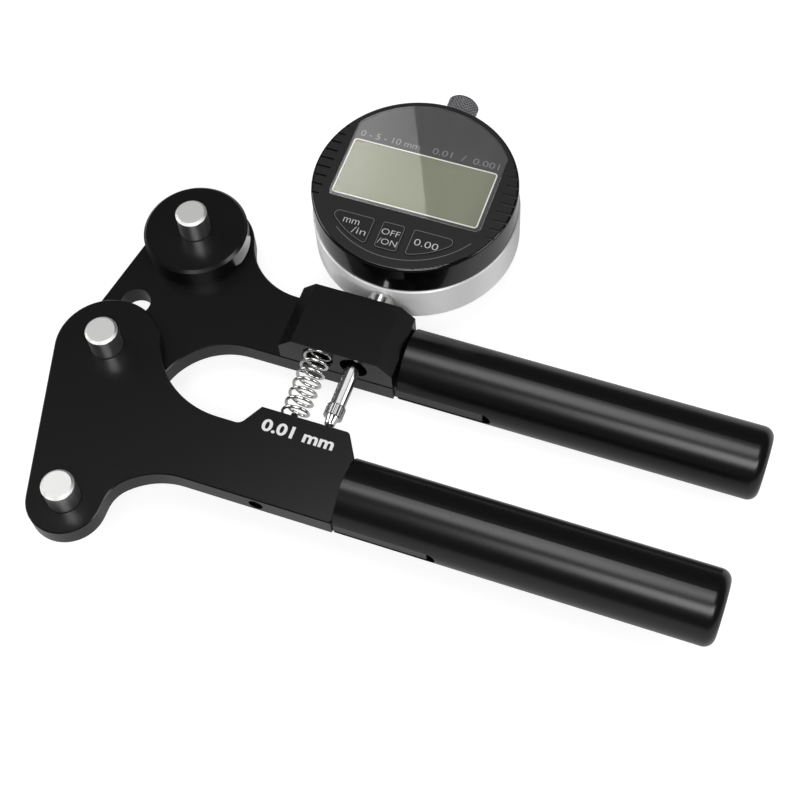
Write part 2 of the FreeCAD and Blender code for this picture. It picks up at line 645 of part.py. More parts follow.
def window_solid(margin, low, high):
    """The window's shape in plan: straight sides and foot, and an arc for its top."""
    left, right = GX - WINDOW_HALF + margin, GX + WINDOW_HALF - margin
    foot, radius, corner = WINDOW_Y + margin, WINDOW_R - margin, WINDOW_CORNER - margin
    outline = Outline((left, foot + corner))
    outline.arc((left + corner, foot + corner), corner, 180, 270)
    outline.arc((right - corner, foot + corner), corner, 270, 360)
    right_end, left_end = (math.degrees(math.acos((x - GX) / radius)) for x in (right, left))
    outline.arc(INDICATOR, radius, right_end, left_end)
    return outline.solid(low, high)


KEYS = ("key_units", "key_power", "key_zero")
KEY_TOP, KEY_FOOT = -14.7, -23.4    # from the face's centre
KEY_HALF = 3.2          # half the width of the middle key
KEY_INNER = 5.7         # from the centre line to an outer key's straight side
KEY_SWEEP_R = 24.1      # the outer keys' long arcs run round the face's centre
KEY_CORNER, KEY_TIP_R = 0.8, 1.5
KEY_ROOM = 0.15
KEY_PROUD = 0.25
KEY_FLANGE_T, KEY_FLANGE_WIDE = 0.7, 0.7
KEY_STEM_R = 1.2


def middle_key_outline(grow):
    left, right = FRONT_X - KEY_HALF - grow, FRONT_X + KEY_HALF + grow
    foot, top, r = GY + KEY_FOOT - grow, GY + KEY_TOP + grow, KEY_CORNER + grow
    outline = Outline((left, foot + r))
    outline.arc((left + r, foot + r), r, 180, 270)
    outline.arc((right - r, foot + r), r, 270, 360)
    outline.arc((right - r, top - r), r, 0, 90)
    outline.arc((left + r, top - r), r, 90, 180)
    return outline


def side_key_outline(grow, side):
    """An outer key: a straight top and inner side, a rounded tip, an arc that follows the face."""
    top, inner, sweep = KEY_TOP + grow, KEY_INNER - grow, KEY_SWEEP_R + grow
    small, tip = KEY_CORNER + grow, KEY_TIP_R + grow
    tip_centre = (math.sqrt((sweep - tip) ** 2 - (top - tip) ** 2), top - tip)
    foot_centre = (inner + small, -math.sqrt((sweep - small) ** 2 - (inner + small) ** 2))
    tip_turn, foot_turn = direction((0, 0), tip_centre), direction((0, 0), foot_centre)
    arcs = [((inner + small, top - small), small, 180, 90), (tip_centre, tip, 90, tip_turn),
            ((0, 0), sweep, tip_turn, foot_turn), (foot_centre, small, foot_turn, -180)]
    outline = None
    for (x, y), radius, start, end in arcs:
        centre = (FRONT_X + side * x, GY + y)
        if side < 0:
            start, end = 180 - start, 180 - end
        outline = outline or Outline(on_circle(centre, radius, start))
        outline.arc(centre, radius, start, end)
    return outline


def key_outline(name, grow=0.0):
    if name == "key_power":
        return middle_key_outline(grow)
    return side_key_outline(grow, -1 if name == "key_units" else 1)


def key_centre(name):
    centre = key_outline(name).solid(0, 1).CenterOfMass
    return centre.x, centre.y


def key(name):
    """A key's cap, its wide flange under the face, and the short stem that presses its switch."""
    flange_top = BEZEL_TOP - FACE_T - 0.05
    flange_low = flange_top - KEY_FLANGE_T
    cap = key_outline(name).solid(flange_top, BEZEL_TOP + KEY_PROUD)
    flange = key_outline(name, KEY_FLANGE_WIDE).solid(flange_low, flange_top)
    stem = cylinder(*key_centre(name), KEY_STEM_R, SWITCH_TOP + KEY_TRAVEL + 0.05, flange_low)
    return cap.fuse(flange).fuse(stem)


def grip_groove(y, side):
    ends = sorted((GX + side * RIB_INNER, GX + side * BEZEL_R))
    return box(ends, (y - RIB_WIDTH / 2, y + RIB_WIDTH / 2), (BEZEL_TOP - RIB_DEPTH, BEZEL_TOP))


def front_housing():
    """Moulded housing: a face with its window and key openings, grip grooves at the sides."""
    shell = cylinder(GX, GY, BEZEL_R, BEZEL_BOTTOM, BEZEL_TOP)
    shell = shell.makeFillet(HOUSING_FILLET, flat_edges(shell, BEZEL_TOP))
    shell = shell.cut(cylinder(GX, GY, BEZEL_R - HOUSING_WALL, BEZEL_BOTTOM, BEZEL_TOP - FACE_T))
    shell = shell.cut(window_solid(0, BEZEL_TOP - LENS_T, BEZEL_TOP))
    shell = shell.cut(window_solid(LEDGE, BEZEL_BOTTOM, BEZEL_TOP))
    for name in KEYS:
        shell = shell.cut(key_outline(name, KEY_ROOM).solid(BEZEL_BOTTOM, BEZEL_TOP))
    for i in range(RIB_COUNT):
        for side in (-1, 1):
            shell = shell.cut(grip_groove(RIB_LOW_Y + i * RIB_PITCH, side))
    return shell


def display_window():
    """Clear lens, flush with the face."""
    return window_solid(WINDOW_ROOM, BEZEL_TOP - LENS_T, BEZEL_TOP - 0.02)


def display_panel():
    """Liquid crystal panel under the lens."""
    return box((GX - PANEL_HALF, GX + PANEL_HALF), PANEL_Y, (PANEL_TOP - PANEL_T, PANEL_TOP))


def circuit_board():
    """Round board with a switch under each key and a block that carries the display panel."""
    top = BOARD_Z + BOARD_T
    board = cylinder(GX, GY, BOARD_R, BOARD_Z, top)
    for name in KEYS:
        x, y = key_centre(name)
        board = board.fuse(box((x - SWITCH_HALF, x + SWITCH_HALF), (y - SWITCH_HALF, y + SWITCH_HALF),
                               (top, SWITCH_TOP)))
    holder = box((GX - HOLDER_HALF, GX + HOLDER_HALF), (PANEL_Y[0] + 2, PANEL_Y[1] - 2),
                 (top, PANEL_TOP - PANEL_T))
    return board.fuse(holder).removeSplitter()


def reading_head():
    """Sensor under the web, above the scale that moves with the spindle."""
    half, length, thickness = SENSOR
    return box((GX - half, GX + half), (GY - half, GY - half + length), (WEB_LOW - thickness, WEB_LOW))


# ---------------------------------------------------------------- spindle
TIP_R = 1.6             # rounded end of the contact point
NECK_R = (1.5, 2.0)     # the neck widens from the rounded end to the collar
GRIP_R = 2.7            # collar of the contact point, gripped to screw it in
GRIP_Y = (-2.1, 2.1)
SCALE_X = (GX - 6.6, GX + 7.4)
SCALE_Y = (GY - 20.0, GY - 8.0)
SCALE_HALF = 2.9
CAP_R = 4.7
CAP_Y = (REAR_Y + 3.2, GY + 42.8)
CAP_EDGE = 0.4
SPINDLE_END = CAP_Y[0] + 5.0
INNER_COIL_R, INNER_WIRE, INNER_TURNS = 2.75, 0.25, 12


def spindle_rod():
    return cylinder_y(GX, SPINDLE_Z, SPINDLE_R, GRIP_Y[1], SPINDLE_END)


def contact_point():
    """Screw-in contact point: a collar, a neck, a rounded tip on the front plate's edge."""
    collar = cylinder_y(GX, SPINDLE_Z, GRIP_R, *GRIP_Y)
    start = TAB_Y + TIP_R
    neck = Part.makeCone(*NECK_R, GRIP_Y[0] - start, Vector(GX, start, SPINDLE_Z), Vector(0, 1, 0))
    ball = Part.makeSphere(TIP_R, Vector(GX, start, SPINDLE_Z))
    ball = ball.common(cylinder_y(GX, SPINDLE_Z, NECK_R[0], TAB_Y, start))
    return collar.fuse(neck).fuse(ball).removeSplitter()


def lifting_cap():
    cap = cylinder_y(GX, SPINDLE_Z, CAP_R, *CAP_Y)
    cap = cap.makeChamfer(CAP_EDGE, [e for e in cap.Edges if e.BoundBox.YLength < 1e-3])
    return cap.cut(cylinder_y(GX, SPINDLE_Z, SPINDLE_R, CAP_Y[0], SPINDLE_END))


def scale_carriage():
    """Block clamped on the spindle: it carries the scale and slides on the guide rod."""
    block = box(SCALE_X, SCALE_Y, (SPINDLE_Z - SCALE_HALF, SPINDLE_Z + SCALE_HALF))
    block = block.cut(cylinder_y(GX, SPINDLE_Z, SPINDLE_R, *SCALE_Y))
    return block.cut(cylinder_y(GUIDE_X, SPINDLE_Z, GUIDE_R + RUNNING_FIT, *SCALE_Y))


def spindle_spring():
    """Pushes the spindle out of the case, against the front plate's edge."""
    start = SCALE_Y[1] + INNER_WIRE + 0.1
    end = REAR_Y - UPPER_BUSH_DEPTH - INNER_WIRE - 0.1
    return coil(GX, lambda y: SPINDLE_Z, start, end, INNER_COIL_R, INNER_WIRE, INNER_TURNS, 90)


# ---------------------------------------------------------------- export
NODES = {
    "back_lever_plate": back_lever_plate,
    "spacer_disc": spacer_disc,
    "outer_post": lambda: screwed_post(*OUTER_POST, BACK_BOTTOM),
    "outer_post_screw": lambda: post_screw(*OUTER_POST, BACK_BOTTOM),
    "back_handle": lambda: handle_bar(BACK_BAR, BACK_MID),
    "back_handle_screws": lambda: tang_screws(BACK_BAR[1], BACK_MID),
    "pivot_bush": pivot_bush,
    "stop_pin": stop_pin,
    "gauge_block": gauge_block,
    "gauge_block_screws": gauge_block_screws,
    "stem_clamp_screw": stem_clamp_screw,
    "return_spring": return_spring,
    "gauge_case": gauge_case,
    "gauge_stem": gauge_stem,
    "stem_bushes": stem_bushes,
    "upper_bush": upper_bush,
    "guide_rod": guide_rod,
    "back_cover": back_cover,
    "back_cover_screws": back_cover_screws,
    "battery": battery,
    "battery_lid": battery_lid,
    "circuit_board": circuit_board,
    "reading_head": reading_head,
    "display_panel": display_panel,
    "display_window": display_window,
    "front_housing": front_housing,
    "spindle_spring": spindle_spring,
    "spindle_rod": spindle_rod,
    "contact_point": contact_point,
    "lifting_cap": lifting_cap,
    "scale_carriage": scale_carriage,
    "front_lever_plate": front_lever_plate,
    "centre_post": centre_post,
    "end_post": lambda: screwed_post(*END_POST, FRONT_BOTTOM),
    "end_post_screw": lambda: post_screw(*END_POST, FRONT_BOTTOM),
    "front_handle": lambda: handle_bar(FRONT_BAR, FRONT_MID),
    "front_handle_screws": lambda: tang_screws(FRONT_BAR[1], FRONT_MID),
    "spring_seat_screw": spring_seat_screw,
    "thrust_washer": thrust_washer,
    "pivot_washer": pivot_washer,
    "pivot_clip": pivot_clip,
}
for key_name in KEYS:
    NODES[key_name] = lambda name=key_name: key(name)


def main():
    os.makedirs("parts", exist_ok=True)
    for name, make in NODES.items():
        shape = make()
        if not shape.isValid():
            print("not valid:", name)
        shape.exportStep(f"parts/{name}.step")
        b = shape.BoundBox
        spans = ((b.XMin, b.XMax), (b.YMin, b.YMax), (b.ZMin, b.ZMax))
        print(f"{name:20s} solids {len(shape.Solids)}  volume {shape.Volume:9.1f} ",
              "  ".join(f"{low:7.2f} {high:7.2f}" for low, high in spans))


main()
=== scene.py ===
# %% [markdown]
# # A spoke tension meter
# Two flat black levers turn on one pivot, three steel posts bend a bicycle spoke between them, and a
# digital indicator reads how far the levers have turned. The engineering model already gives every real
# shape and joint. This script loads it as a fixed frame, gives each surface its finish, and adds what
# the frame draws only plainly or not at all: wound springs, knurls, printed lines and numbers.

# %% Load the frame
import math

import bmesh
import bpy
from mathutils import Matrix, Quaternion, Vector


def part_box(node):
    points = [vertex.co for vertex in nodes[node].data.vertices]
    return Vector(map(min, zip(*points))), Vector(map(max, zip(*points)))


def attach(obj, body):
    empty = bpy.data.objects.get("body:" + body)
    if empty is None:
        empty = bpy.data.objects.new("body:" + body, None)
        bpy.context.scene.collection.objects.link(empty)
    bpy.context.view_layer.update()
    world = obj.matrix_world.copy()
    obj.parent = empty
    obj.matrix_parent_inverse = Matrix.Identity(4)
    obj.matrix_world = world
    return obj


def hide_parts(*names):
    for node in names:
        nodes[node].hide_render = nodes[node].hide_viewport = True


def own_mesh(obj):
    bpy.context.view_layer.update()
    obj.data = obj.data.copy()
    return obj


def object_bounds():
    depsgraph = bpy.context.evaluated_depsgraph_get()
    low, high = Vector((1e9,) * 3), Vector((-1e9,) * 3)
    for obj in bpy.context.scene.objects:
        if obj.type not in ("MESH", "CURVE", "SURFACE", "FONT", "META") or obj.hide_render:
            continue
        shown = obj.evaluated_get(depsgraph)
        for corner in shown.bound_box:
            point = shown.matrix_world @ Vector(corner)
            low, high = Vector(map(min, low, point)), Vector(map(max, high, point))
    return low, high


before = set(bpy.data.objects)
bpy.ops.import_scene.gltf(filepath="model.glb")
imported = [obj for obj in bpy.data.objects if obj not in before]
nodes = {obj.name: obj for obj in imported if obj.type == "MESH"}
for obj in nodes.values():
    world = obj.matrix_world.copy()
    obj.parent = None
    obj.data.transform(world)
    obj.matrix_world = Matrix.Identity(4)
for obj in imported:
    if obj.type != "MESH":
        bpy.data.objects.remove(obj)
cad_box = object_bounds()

# %% [markdown]
# ## Units and colours
# The frame is in metres and the drawings are in millimetres, so one function turns a drawing's numbers
# into metres. Colours are easier to choose as screen hex codes, but a shader needs linear light. One
# function turns the first into the second, so that every colour below can be read, compared and changed
# as a hex code.

# %% Millimetres and hex colours
def mm(*values):
    """Millimetres to metres: one number, or a tuple of several."""
    metres = tuple(value / 1000 for value in values)
    return metres[0] if len(metres) == 1 else metres


def linear(hex_code):
    """An sRGB hex code as linear red, green, blue and alpha."""
    parts = [int(hex_code[i:i + 2], 16) / 255 for i in (1, 3, 5)]
    return tuple(c / 12.92 if c <= 0.04045 else ((c + 0.055) / 1.055) ** 2.4 for c in parts) + (1.0,)


print("1 mm is", mm(1), "and middle grey is", [round(c, 3) for c in linear("#808080")])

# %% [markdown]
# ## The camera
# A tool like this is shown from above its handles' side, a little to the right. The camera stands about
# 43 cm away, with a normal to long lens of 70 mm, so the near handle looks only slightly larger than the
# far one. Its angles are set directly, because aiming it with a tracking constraint would lose the slight
# roll.

# %% Place the camera
lens_data = bpy.data.cameras.new("camera")
lens_data.sensor_width = 36
lens_data.lens = 69.594
lens_data.clip_start = 0.01
camera = bpy.data.objects.new("camera", lens_data)
camera.location = mm(166.232, -172.029, 360.387)
camera.rotation_euler = [math.radians(angle) for angle in (28.5182, 2.7799, 19.5997)]
bpy.context.scene.collection.objects.link(camera)
bpy.context.scene.camera = camera
print("camera", [round(c, 3) for c in camera.location])

# %% [markdown]
# ## Nodes
# Every material below is a small tree of nodes. One function adds a node, sets its options and sockets,
# and links it, so that a material reads as a short list. A second one starts a material with the plain
# numbers that stay the same all over the surface, set on the shader's own sockets.

# %% Add a node, start a material
def add(tree, kind, sockets=None, **options):
    """Adds one node. A socket's value is a number, a colour, or another node's output to link."""
    made = tree.nodes.new(kind)
    for option, value in options.items():
        setattr(made, option, value)
    for name, value in (sockets or {}).items():
        if isinstance(value, bpy.types.NodeSocket):
            tree.links.new(value, made.inputs[name])
        else:
            made.inputs[name].default_value = value
    return made


def start(name, colour, roughness, metallic=0.0, **sockets):
    """A material with its shader and its place in the frame, in metres."""
    material = bpy.data.materials.new(name)
    material.use_nodes = True
    tree = material.node_tree
    shader = tree.nodes["Principled BSDF"]
    shader.inputs["Base Color"].default_value = linear(colour)
    shader.inputs["Roughness"].default_value = roughness
    shader.inputs["Metallic"].default_value = metallic
    for socket, value in sockets.items():
        shader.inputs[socket.replace("_", " ")].default_value = value
    place = add(tree, "ShaderNodeTexCoord").outputs["Object"]
    return material, tree, shader, place


def grain(tree, shader, place, size_mm, rough_from, rough_to, height_mm, stretch=(1, 1, 1)):
    """Fine unevenness: noise of one real size drives the roughness and a slight bump."""
    # Most of a noise's values lie between 0.3 and 0.7, so those become the two roughnesses.
    scaled = add(tree, "ShaderNodeMapping", {"Vector": place, "Scale": stretch})
    noise = add(tree, "ShaderNodeTexNoise", {
        "Vector": scaled.outputs["Vector"], "Scale": 1000 / size_mm, "Detail": 2.0})
    rough = add(tree, "ShaderNodeMapRange", {
        "Value": noise.outputs["Fac"], "From Min": 0.3, "From Max": 0.7,
        "To Min": rough_from, "To Max": rough_to})
    bump = add(tree, "ShaderNodeBump", {
        "Height": noise.outputs["Fac"], "Distance": mm(height_mm), "Strength": 1.0})
    tree.links.new(rough.outputs["Result"], shader.inputs["Roughness"])
    tree.links.new(bump.outputs["Normal"], shader.inputs["Normal"])
    return noise


finishes = {}

# %% [markdown]
# ## Black anodised aluminium, milled flat
# The plates, the disc and the block are milled from aluminium bar, tumbled and anodised black. The oxide
# layer behaves like a dark glass: black below, and a soft even reflection on top. A metallic shader would
# give a tinted mirror, so this one is a dielectric. Its index is a little under the oxide's own 1.6,
# because dye and sealer fill the pores. Tumbling leaves a grain of about 0.1 mm; it is drawn at 0.4 mm so
# that it can show at all.

# %% Anodised plates
material, tree, shader, place = start("anodised_aluminium_milled", "#0b0b0c", 0.27, IOR=1.5)
grain(tree, shader, place, 0.4, 0.252, 0.266, 0.0001)
finishes["black_anodised"] = material
print(material.name)

# %% [markdown]
# ## Black anodised aluminium, turned
# The handles are turned bars with the same coating. Turning leaves rings round the bar, a few hundredths
# of a millimetre apart, which blur a highlight along the bar. The noise is therefore squeezed along X: it
# is drawn 0.27 mm long along the bar and 0.8 mm round it, coarse enough to show.

# %% Anodised handles
material, tree, shader, place = start("anodised_aluminium_turned", "#0c0c0d", 0.25, IOR=1.5)
grain(tree, shader, place, 0.8, 0.25, 0.27, 0.0002, stretch=(3, 1, 1))
finishes["handle_black"] = material
print(material.name)

# %% [markdown]
# ## Turned and hardened steel
# The spoke posts are turned, hardened and ground on their sides, and faced on their ends. Facing leaves
# fine rings, so an end looks like pale satin, while a side mirrors softly what stands round it. Generated
# coordinates run from 0 to 1 across each post, so the rings can be centred on all three posts with one
# material. The real rings are 0.1 mm apart, drawn at 0.45 mm.

# %% Steel posts
material, tree, shader, place = start("hardened_steel_turned", "#d8d8d7", 0.32, metallic=1.0)
across = add(tree, "ShaderNodeTexCoord").outputs["Generated"]
centred = add(tree, "ShaderNodeVectorMath", {0: across, 1: (0.5, 0.5, 0.0)}, operation="SUBTRACT")
flat = add(tree, "ShaderNodeVectorMath", {0: centred.outputs["Vector"], 1: (1.0, 1.0, 0.0)},
           operation="MULTIPLY")
radius = add(tree, "ShaderNodeVectorMath", {0: flat.outputs["Vector"]}, operation="LENGTH")
POST_ACROSS, RING_PITCH = 9.0, 0.45     # mm
turns = POST_ACROSS / RING_PITCH * 2 * math.pi
turned = add(tree, "ShaderNodeMath", {0: radius.outputs["Value"], 1: turns}, operation="MULTIPLY")
rings = add(tree, "ShaderNodeMath", {0: turned.outputs["Value"]}, operation="SINE")
facing = add(tree, "ShaderNodeSeparateXYZ", {0: add(tree, "ShaderNodeNewGeometry").outputs["Normal"]})
end = add(tree, "ShaderNodeMath", {0: facing.outputs["Z"], 1: 0.9}, operation="GREATER_THAN")
depth = add(tree, "ShaderNodeMath", {0: rings.outputs["Value"], 1: end.outputs["Value"]},
            operation="MULTIPLY")
rough = add(tree, "ShaderNodeMapRange", {"Value": facing.outputs["Z"], "To Min": 0.32, "To Max": 0.62})
bump = add(tree, "ShaderNodeBump", {
    "Height": depth.outputs["Value"], "Strength": 0.25, "Distance": mm(0.002)})
tree.links.new(rough.outputs["Result"], shader.inputs["Roughness"])
tree.links.new(bump.outputs["Normal"], shader.inputs["Normal"])
finishes["post_steel"] = material
print(material.name)

# %% [markdown]
# ## Bright steels
# Spring wire is drawn through a die and zinc plated, the spindle is ground between wheels, and the stem
# is ground too. All are bright metal. The plating has no direction, so the wire's noise is even. Grinding
# leaves very fine lines round the spindle and the stem, and squeezing the noise along Y draws them. They
# are 0.02 mm apart on the real parts, drawn at 0.2 mm.

# %% Spring wire, spindle, stem
material, tree, shader, place = start("spring_steel_zinc_plated", "#ececea", 0.2, metallic=1.0)
grain(tree, shader, place, 0.5, 0.12, 0.22, 0.0003)
finishes["spring_wire"] = material

material, tree, shader, place = start("stainless_steel_ground", "#dadadb", 0.12, metallic=1.0)
grain(tree, shader, place, 0.8, 0.1, 0.16, 0.0003, stretch=(1, 4, 1))
finishes["spindle_steel"] = material

material, tree, shader, place = start("stainless_steel_stem", "#b4b4b2", 0.24, metallic=1.0)
grain(tree, shader, place, 0.8, 0.2, 0.28, 0.0003, stretch=(1, 4, 1))
finishes["stem_steel"] = material
print([finishes[slot].name for slot in ("spring_wire", "spindle_steel", "stem_steel")])

# %% [markdown]
# ## Satin aluminium of the indicator's case
# The silver ring is turned, brushed round its axis and given a satin oxide. Brushing stretches a
# highlight across the lines, so the ring shows soft upright streaks. An anisotropic shader does that: its
# tangent runs round Z, and a quarter turn of it stands the streaks upright. The oxide scatters part of
# the light, so the shader is only partly metallic. The brush marks are about 0.05 mm; squeezed noise
# draws them at 0.3 mm.

# %% Case ring
material, tree, shader, place = start("aluminium_brushed", "#dcdcdd", 0.55, metallic=0.6, Anisotropic=0.8,
                                      Anisotropic_Rotation=0.25)
grain(tree, shader, place, 1.2, 0.5, 0.6, 0.0003, stretch=(1, 1, 4))
round_z = add(tree, "ShaderNodeTangent", direction_type="RADIAL", axis="Z")
tree.links.new(round_z.outputs["Tangent"], shader.inputs["Tangent"])
finishes["case_metal"] = material
print(material.name)

# %% [markdown]
# ## Moulded ABS of the indicator's front
# The housing is one moulding with two finishes cut into its mould: the side is polished, the face is
# spark eroded. The polished side is deep black with sharp reflections, and the face is a dull charcoal.
# The surface's own normal tells them apart: the face looks up along Z. The short grooves at the right have
# the dull finish all over, and a paler grey is painted into them: painted light that lifts the shade inside
# them, so that they hardly show. Their floors look along Z and their walls along Y, so they are found by the
# normal and by their place. Spark erosion leaves pits of 0.05 mm, drawn at 0.35 mm.

# %% Housing and keys
material, tree, shader, place = start("abs_moulded_two_finishes", "#0a0a0b", 0.12, IOR=1.53)
facing = add(tree, "ShaderNodeSeparateXYZ", {0: add(tree, "ShaderNodeNewGeometry").outputs["Normal"]})
spot = add(tree, "ShaderNodeSeparateXYZ", {0: place})

RIGHT_GROOVES_X, BELOW_FACE_Z = 91, 10.55       # mm
MASKS = (       # what is marked with a 1, the test, and the two values that it takes
    ("upward", "GREATER_THAN", "normal_z", 0.98),
    ("across", "ABSOLUTE", "normal_y", 0.0),        # this one takes only its first value
    ("along_y", "GREATER_THAN", "across", 0.95),
    ("right", "GREATER_THAN", "x", mm(RIGHT_GROOVES_X)),
    ("sunk", "LESS_THAN", "z", mm(BELOW_FACE_Z)),
    ("floor_or_wall", "MAXIMUM", "upward", "along_y"),
    ("right_and_sunk", "MULTIPLY", "right", "sunk"),
    ("groove", "MULTIPLY", "floor_or_wall", "right_and_sunk"),
    ("face", "MAXIMUM", "upward", "groove"),
)
marks = {"normal_y": facing.outputs["Y"], "normal_z": facing.outputs["Z"],
         "x": spot.outputs["X"], "z": spot.outputs["Z"]}
for mark, test, first, second in MASKS:
    made = add(tree, "ShaderNodeMath", {0: marks[first], 1: marks.get(second, second)}, operation=test)
    marks[mark] = made.outputs["Value"]
rough = add(tree, "ShaderNodeMapRange", {
    "Value": marks["face"], "To Min": 0.1, "To Max": 0.42})
colour = add(tree, "ShaderNodeMix", {
    "Factor": marks["face"], "A": linear("#050506"), "B": linear("#1d1d1e")}, data_type="RGBA")
# The right grooves get a paler grey: painted light that lifts the shade inside them.
colour = add(tree, "ShaderNodeMix", {
    "Factor": marks["groove"], "A": colour.outputs["Result"], "B": linear("#3c3c3e")}, data_type="RGBA")
pits = add(tree, "ShaderNodeTexNoise", {"Vector": place, "Scale": 1000 / 0.35, "Detail": 2.0})
depth = add(tree, "ShaderNodeMath", {0: pits.outputs["Fac"], 1: marks["face"]}, operation="MULTIPLY")
bump = add(tree, "ShaderNodeBump", {
    "Height": depth.outputs["Value"], "Strength": 0.6, "Distance": mm(0.003)})
tree.links.new(colour.outputs["Result"], shader.inputs["Base Color"])
tree.links.new(rough.outputs["Result"], shader.inputs["Roughness"])
tree.links.new(bump.outputs["Normal"], shader.inputs["Normal"])
finishes["housing_plastic"] = material

material, tree, shader, place = start("abs_moulded_keys", "#1d1d1e", 0.4, IOR=1.53)
grain(tree, shader, place, 0.35, 0.36, 0.44, 0.001)
finishes["key_plastic"] = material

material, tree, shader, place = start("abs_moulded_cover", "#19191a", 0.5, IOR=1.53)
grain(tree, shader, place, 0.5, 0.44, 0.58, 0.004)
finishes["cover_plastic"] = material
print([finishes[slot].name for slot in ("housing_plastic", "key_plastic", "cover_plastic")])

# %% [markdown]
# ## The knurled cap
# The lifting cap is aluminium, knurled and anodised dark grey. Every facet of the knurl mirrors another
# part of the room, and that gives the cap its grainy look. The finish can therefore stay plain: a grey
# metal with a fine unevenness.

# %% Cap
material, tree, shader, place = start("anodised_aluminium_knurled", "#77777a", 0.34, metallic=1.0)
grain(tree, shader, place, 0.5, 0.32, 0.46, 0.002)
finishes["cap_plastic"] = material
print(material.name)

# %% [markdown]
# ## The display
# A liquid crystal panel is a sandwich of glass and polarising film: greenish grey, almost matt, with a
# faint fine grain from the reflector behind it. The lens in front is polished acrylic. Light that reaches
# the panel has to pass the lens, so the lens lets lamps' rays through by a Light Path mix, and mirrors
# the room by its own gloss.

# %% Panel and lens
material, tree, shader, place = start("liquid_crystal_panel", "#707263", 0.5, IOR=1.3)
speck = grain(tree, shader, place, 0.6, 0.46, 0.54, 0.00002)
tint = add(tree, "ShaderNodeMix", {
    "Factor": speck.outputs["Fac"], "A": linear("#6e7061"), "B": linear("#727465")}, data_type="RGBA")
tree.links.new(tint.outputs["Result"], shader.inputs["Base Color"])
finishes["display_grey"] = material

material, tree, shader, place = start("acrylic_polished", "#ffffff", 0.0, IOR=1.49, Transmission_Weight=1.0)
clear = add(tree, "ShaderNodeBsdfTransparent", {"Color": linear("#fcfcfc")})
path = add(tree, "ShaderNodeLightPath")
through = add(tree, "ShaderNodeMixShader", {
    0: path.outputs["Is Shadow Ray"], 1: shader.outputs["BSDF"], 2: clear.outputs["BSDF"]})
tree.links.new(through.outputs["Shader"], tree.nodes["Material Output"].inputs["Surface"])
finishes["window_clear"] = material
print([finishes[slot].name for slot in ("display_grey", "window_clear")])

# %% [markdown]
# ## Small metal parts and the board
# Screws are blackened alloy steel, bushes are sintered bronze with open pores, the coin cell is pressed
# stainless steel, and the board is glass and epoxy. They are small, but every one shows from some side or
# when the tool is opened, so each has its own colour and grain.

# %% Screws, bushes, cell, board
material, tree, shader, place = start("alloy_steel_black_oxide", "#2a2a2c", 0.36, metallic=0.8)
grain(tree, shader, place, 0.4, 0.3, 0.44, 0.001)
finishes["screw_black"] = material

material, tree, shader, place = start("bronze_sintered", "#b08a52", 0.42, metallic=1.0)
grain(tree, shader, place, 0.3, 0.34, 0.55, 0.004)
finishes["bush_bronze"] = material

material, tree, shader, place = start("stainless_steel_pressed", "#cfcfcd", 0.28, metallic=1.0)
grain(tree, shader, place, 0.6, 0.24, 0.34, 0.001)
finishes["cell_steel"] = material

material, tree, shader, place = start("glass_epoxy_board", "#1d5c38", 0.35, IOR=1.5)
grain(tree, shader, place, 0.5, 0.28, 0.42, 0.002)
finishes["board_green"] = material
print([finishes[slot].name for slot in ("screw_black", "bush_bronze", "cell_steel", "board_green")])

# %% [markdown]
# ## Put the finishes on the frame
# Each node of the frame names the slot that it takes its finish from. The slot is switched to the object,
# so the frame's own mesh stays as it is.

# %% Assign
for name, node in nodes.items():
    for slot in node.material_slots:
        finish = finishes[slot.material.name.split(".")[0]]
        slot.link = "OBJECT"
        slot.material = finish
print("finished", len(nodes), "nodes with", len(finishes), "materials")

# %% [markdown]
# ## Making meshes
# Four kinds of fine piece are added: coiled wire, knurled turned parts, flat prints and lettering. Each
# kind has one function. A piece rides on a body of the frame, so that it moves with it, and names the
# slot that its finish belongs to. Two more functions read a node's middle and levels, so that every piece
# sits where the frame is.

# %% Turn points into a piece
def piece(name, mesh, body, finish, smooth=True):
    """Puts a mesh in the scene as one piece on a body. The finish is a slot's name or a material."""
    made = bpy.data.objects.new(name, mesh)
    bpy.context.scene.collection.objects.link(made)
    mesh.materials.clear()
    mesh.materials.append(finishes[finish] if finish in finishes else finish)
    for polygon in mesh.polygons:
        polygon.use_smooth = smooth
    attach(made, body)
    return made


SHARP_DEG = 40      # an edge that turns more than this stays sharp


def skin(name, rows):
    """A closed mesh from rows of points that each go round, such as the sections of a wire."""
    around = len(rows[0])
    points = [point for row in rows for point in row]
    faces = []
    for i in range(len(rows) - 1):
        for j in range(around):
            k = (j + 1) % around
            faces.append((i * around + j, i * around + k, (i + 1) * around + k, (i + 1) * around + j))
    last = (len(rows) - 1) * around
    faces.append(tuple(range(around))[::-1])
    faces.append(tuple(last + j for j in range(around)))
    mesh = bpy.data.meshes.new(name)
    mesh.from_pydata(points, [], faces)
    shape = bmesh.new()
    shape.from_mesh(mesh)
    bmesh.ops.recalc_face_normals(shape, faces=shape.faces)
    for edge in shape.edges:
        edge.smooth = edge.calc_face_angle(0.0) < math.radians(SHARP_DEG)
    shape.to_mesh(mesh)
    shape.free()
    return mesh


def middle_of(node_name):
    """The middle of a node's box, in mm."""
    low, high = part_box(node_name)
    return [round((a + b) * 500, 2) for a, b in zip(low, high)]


def level_of(node_name, end):
    """The level of a node's underside (end 0) or top (end 1), in mm."""
    return round(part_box(node_name)[end][2] * 1000, 2)


print("the front plate's top is at", level_of("front_lever_plate", 1), "mm")
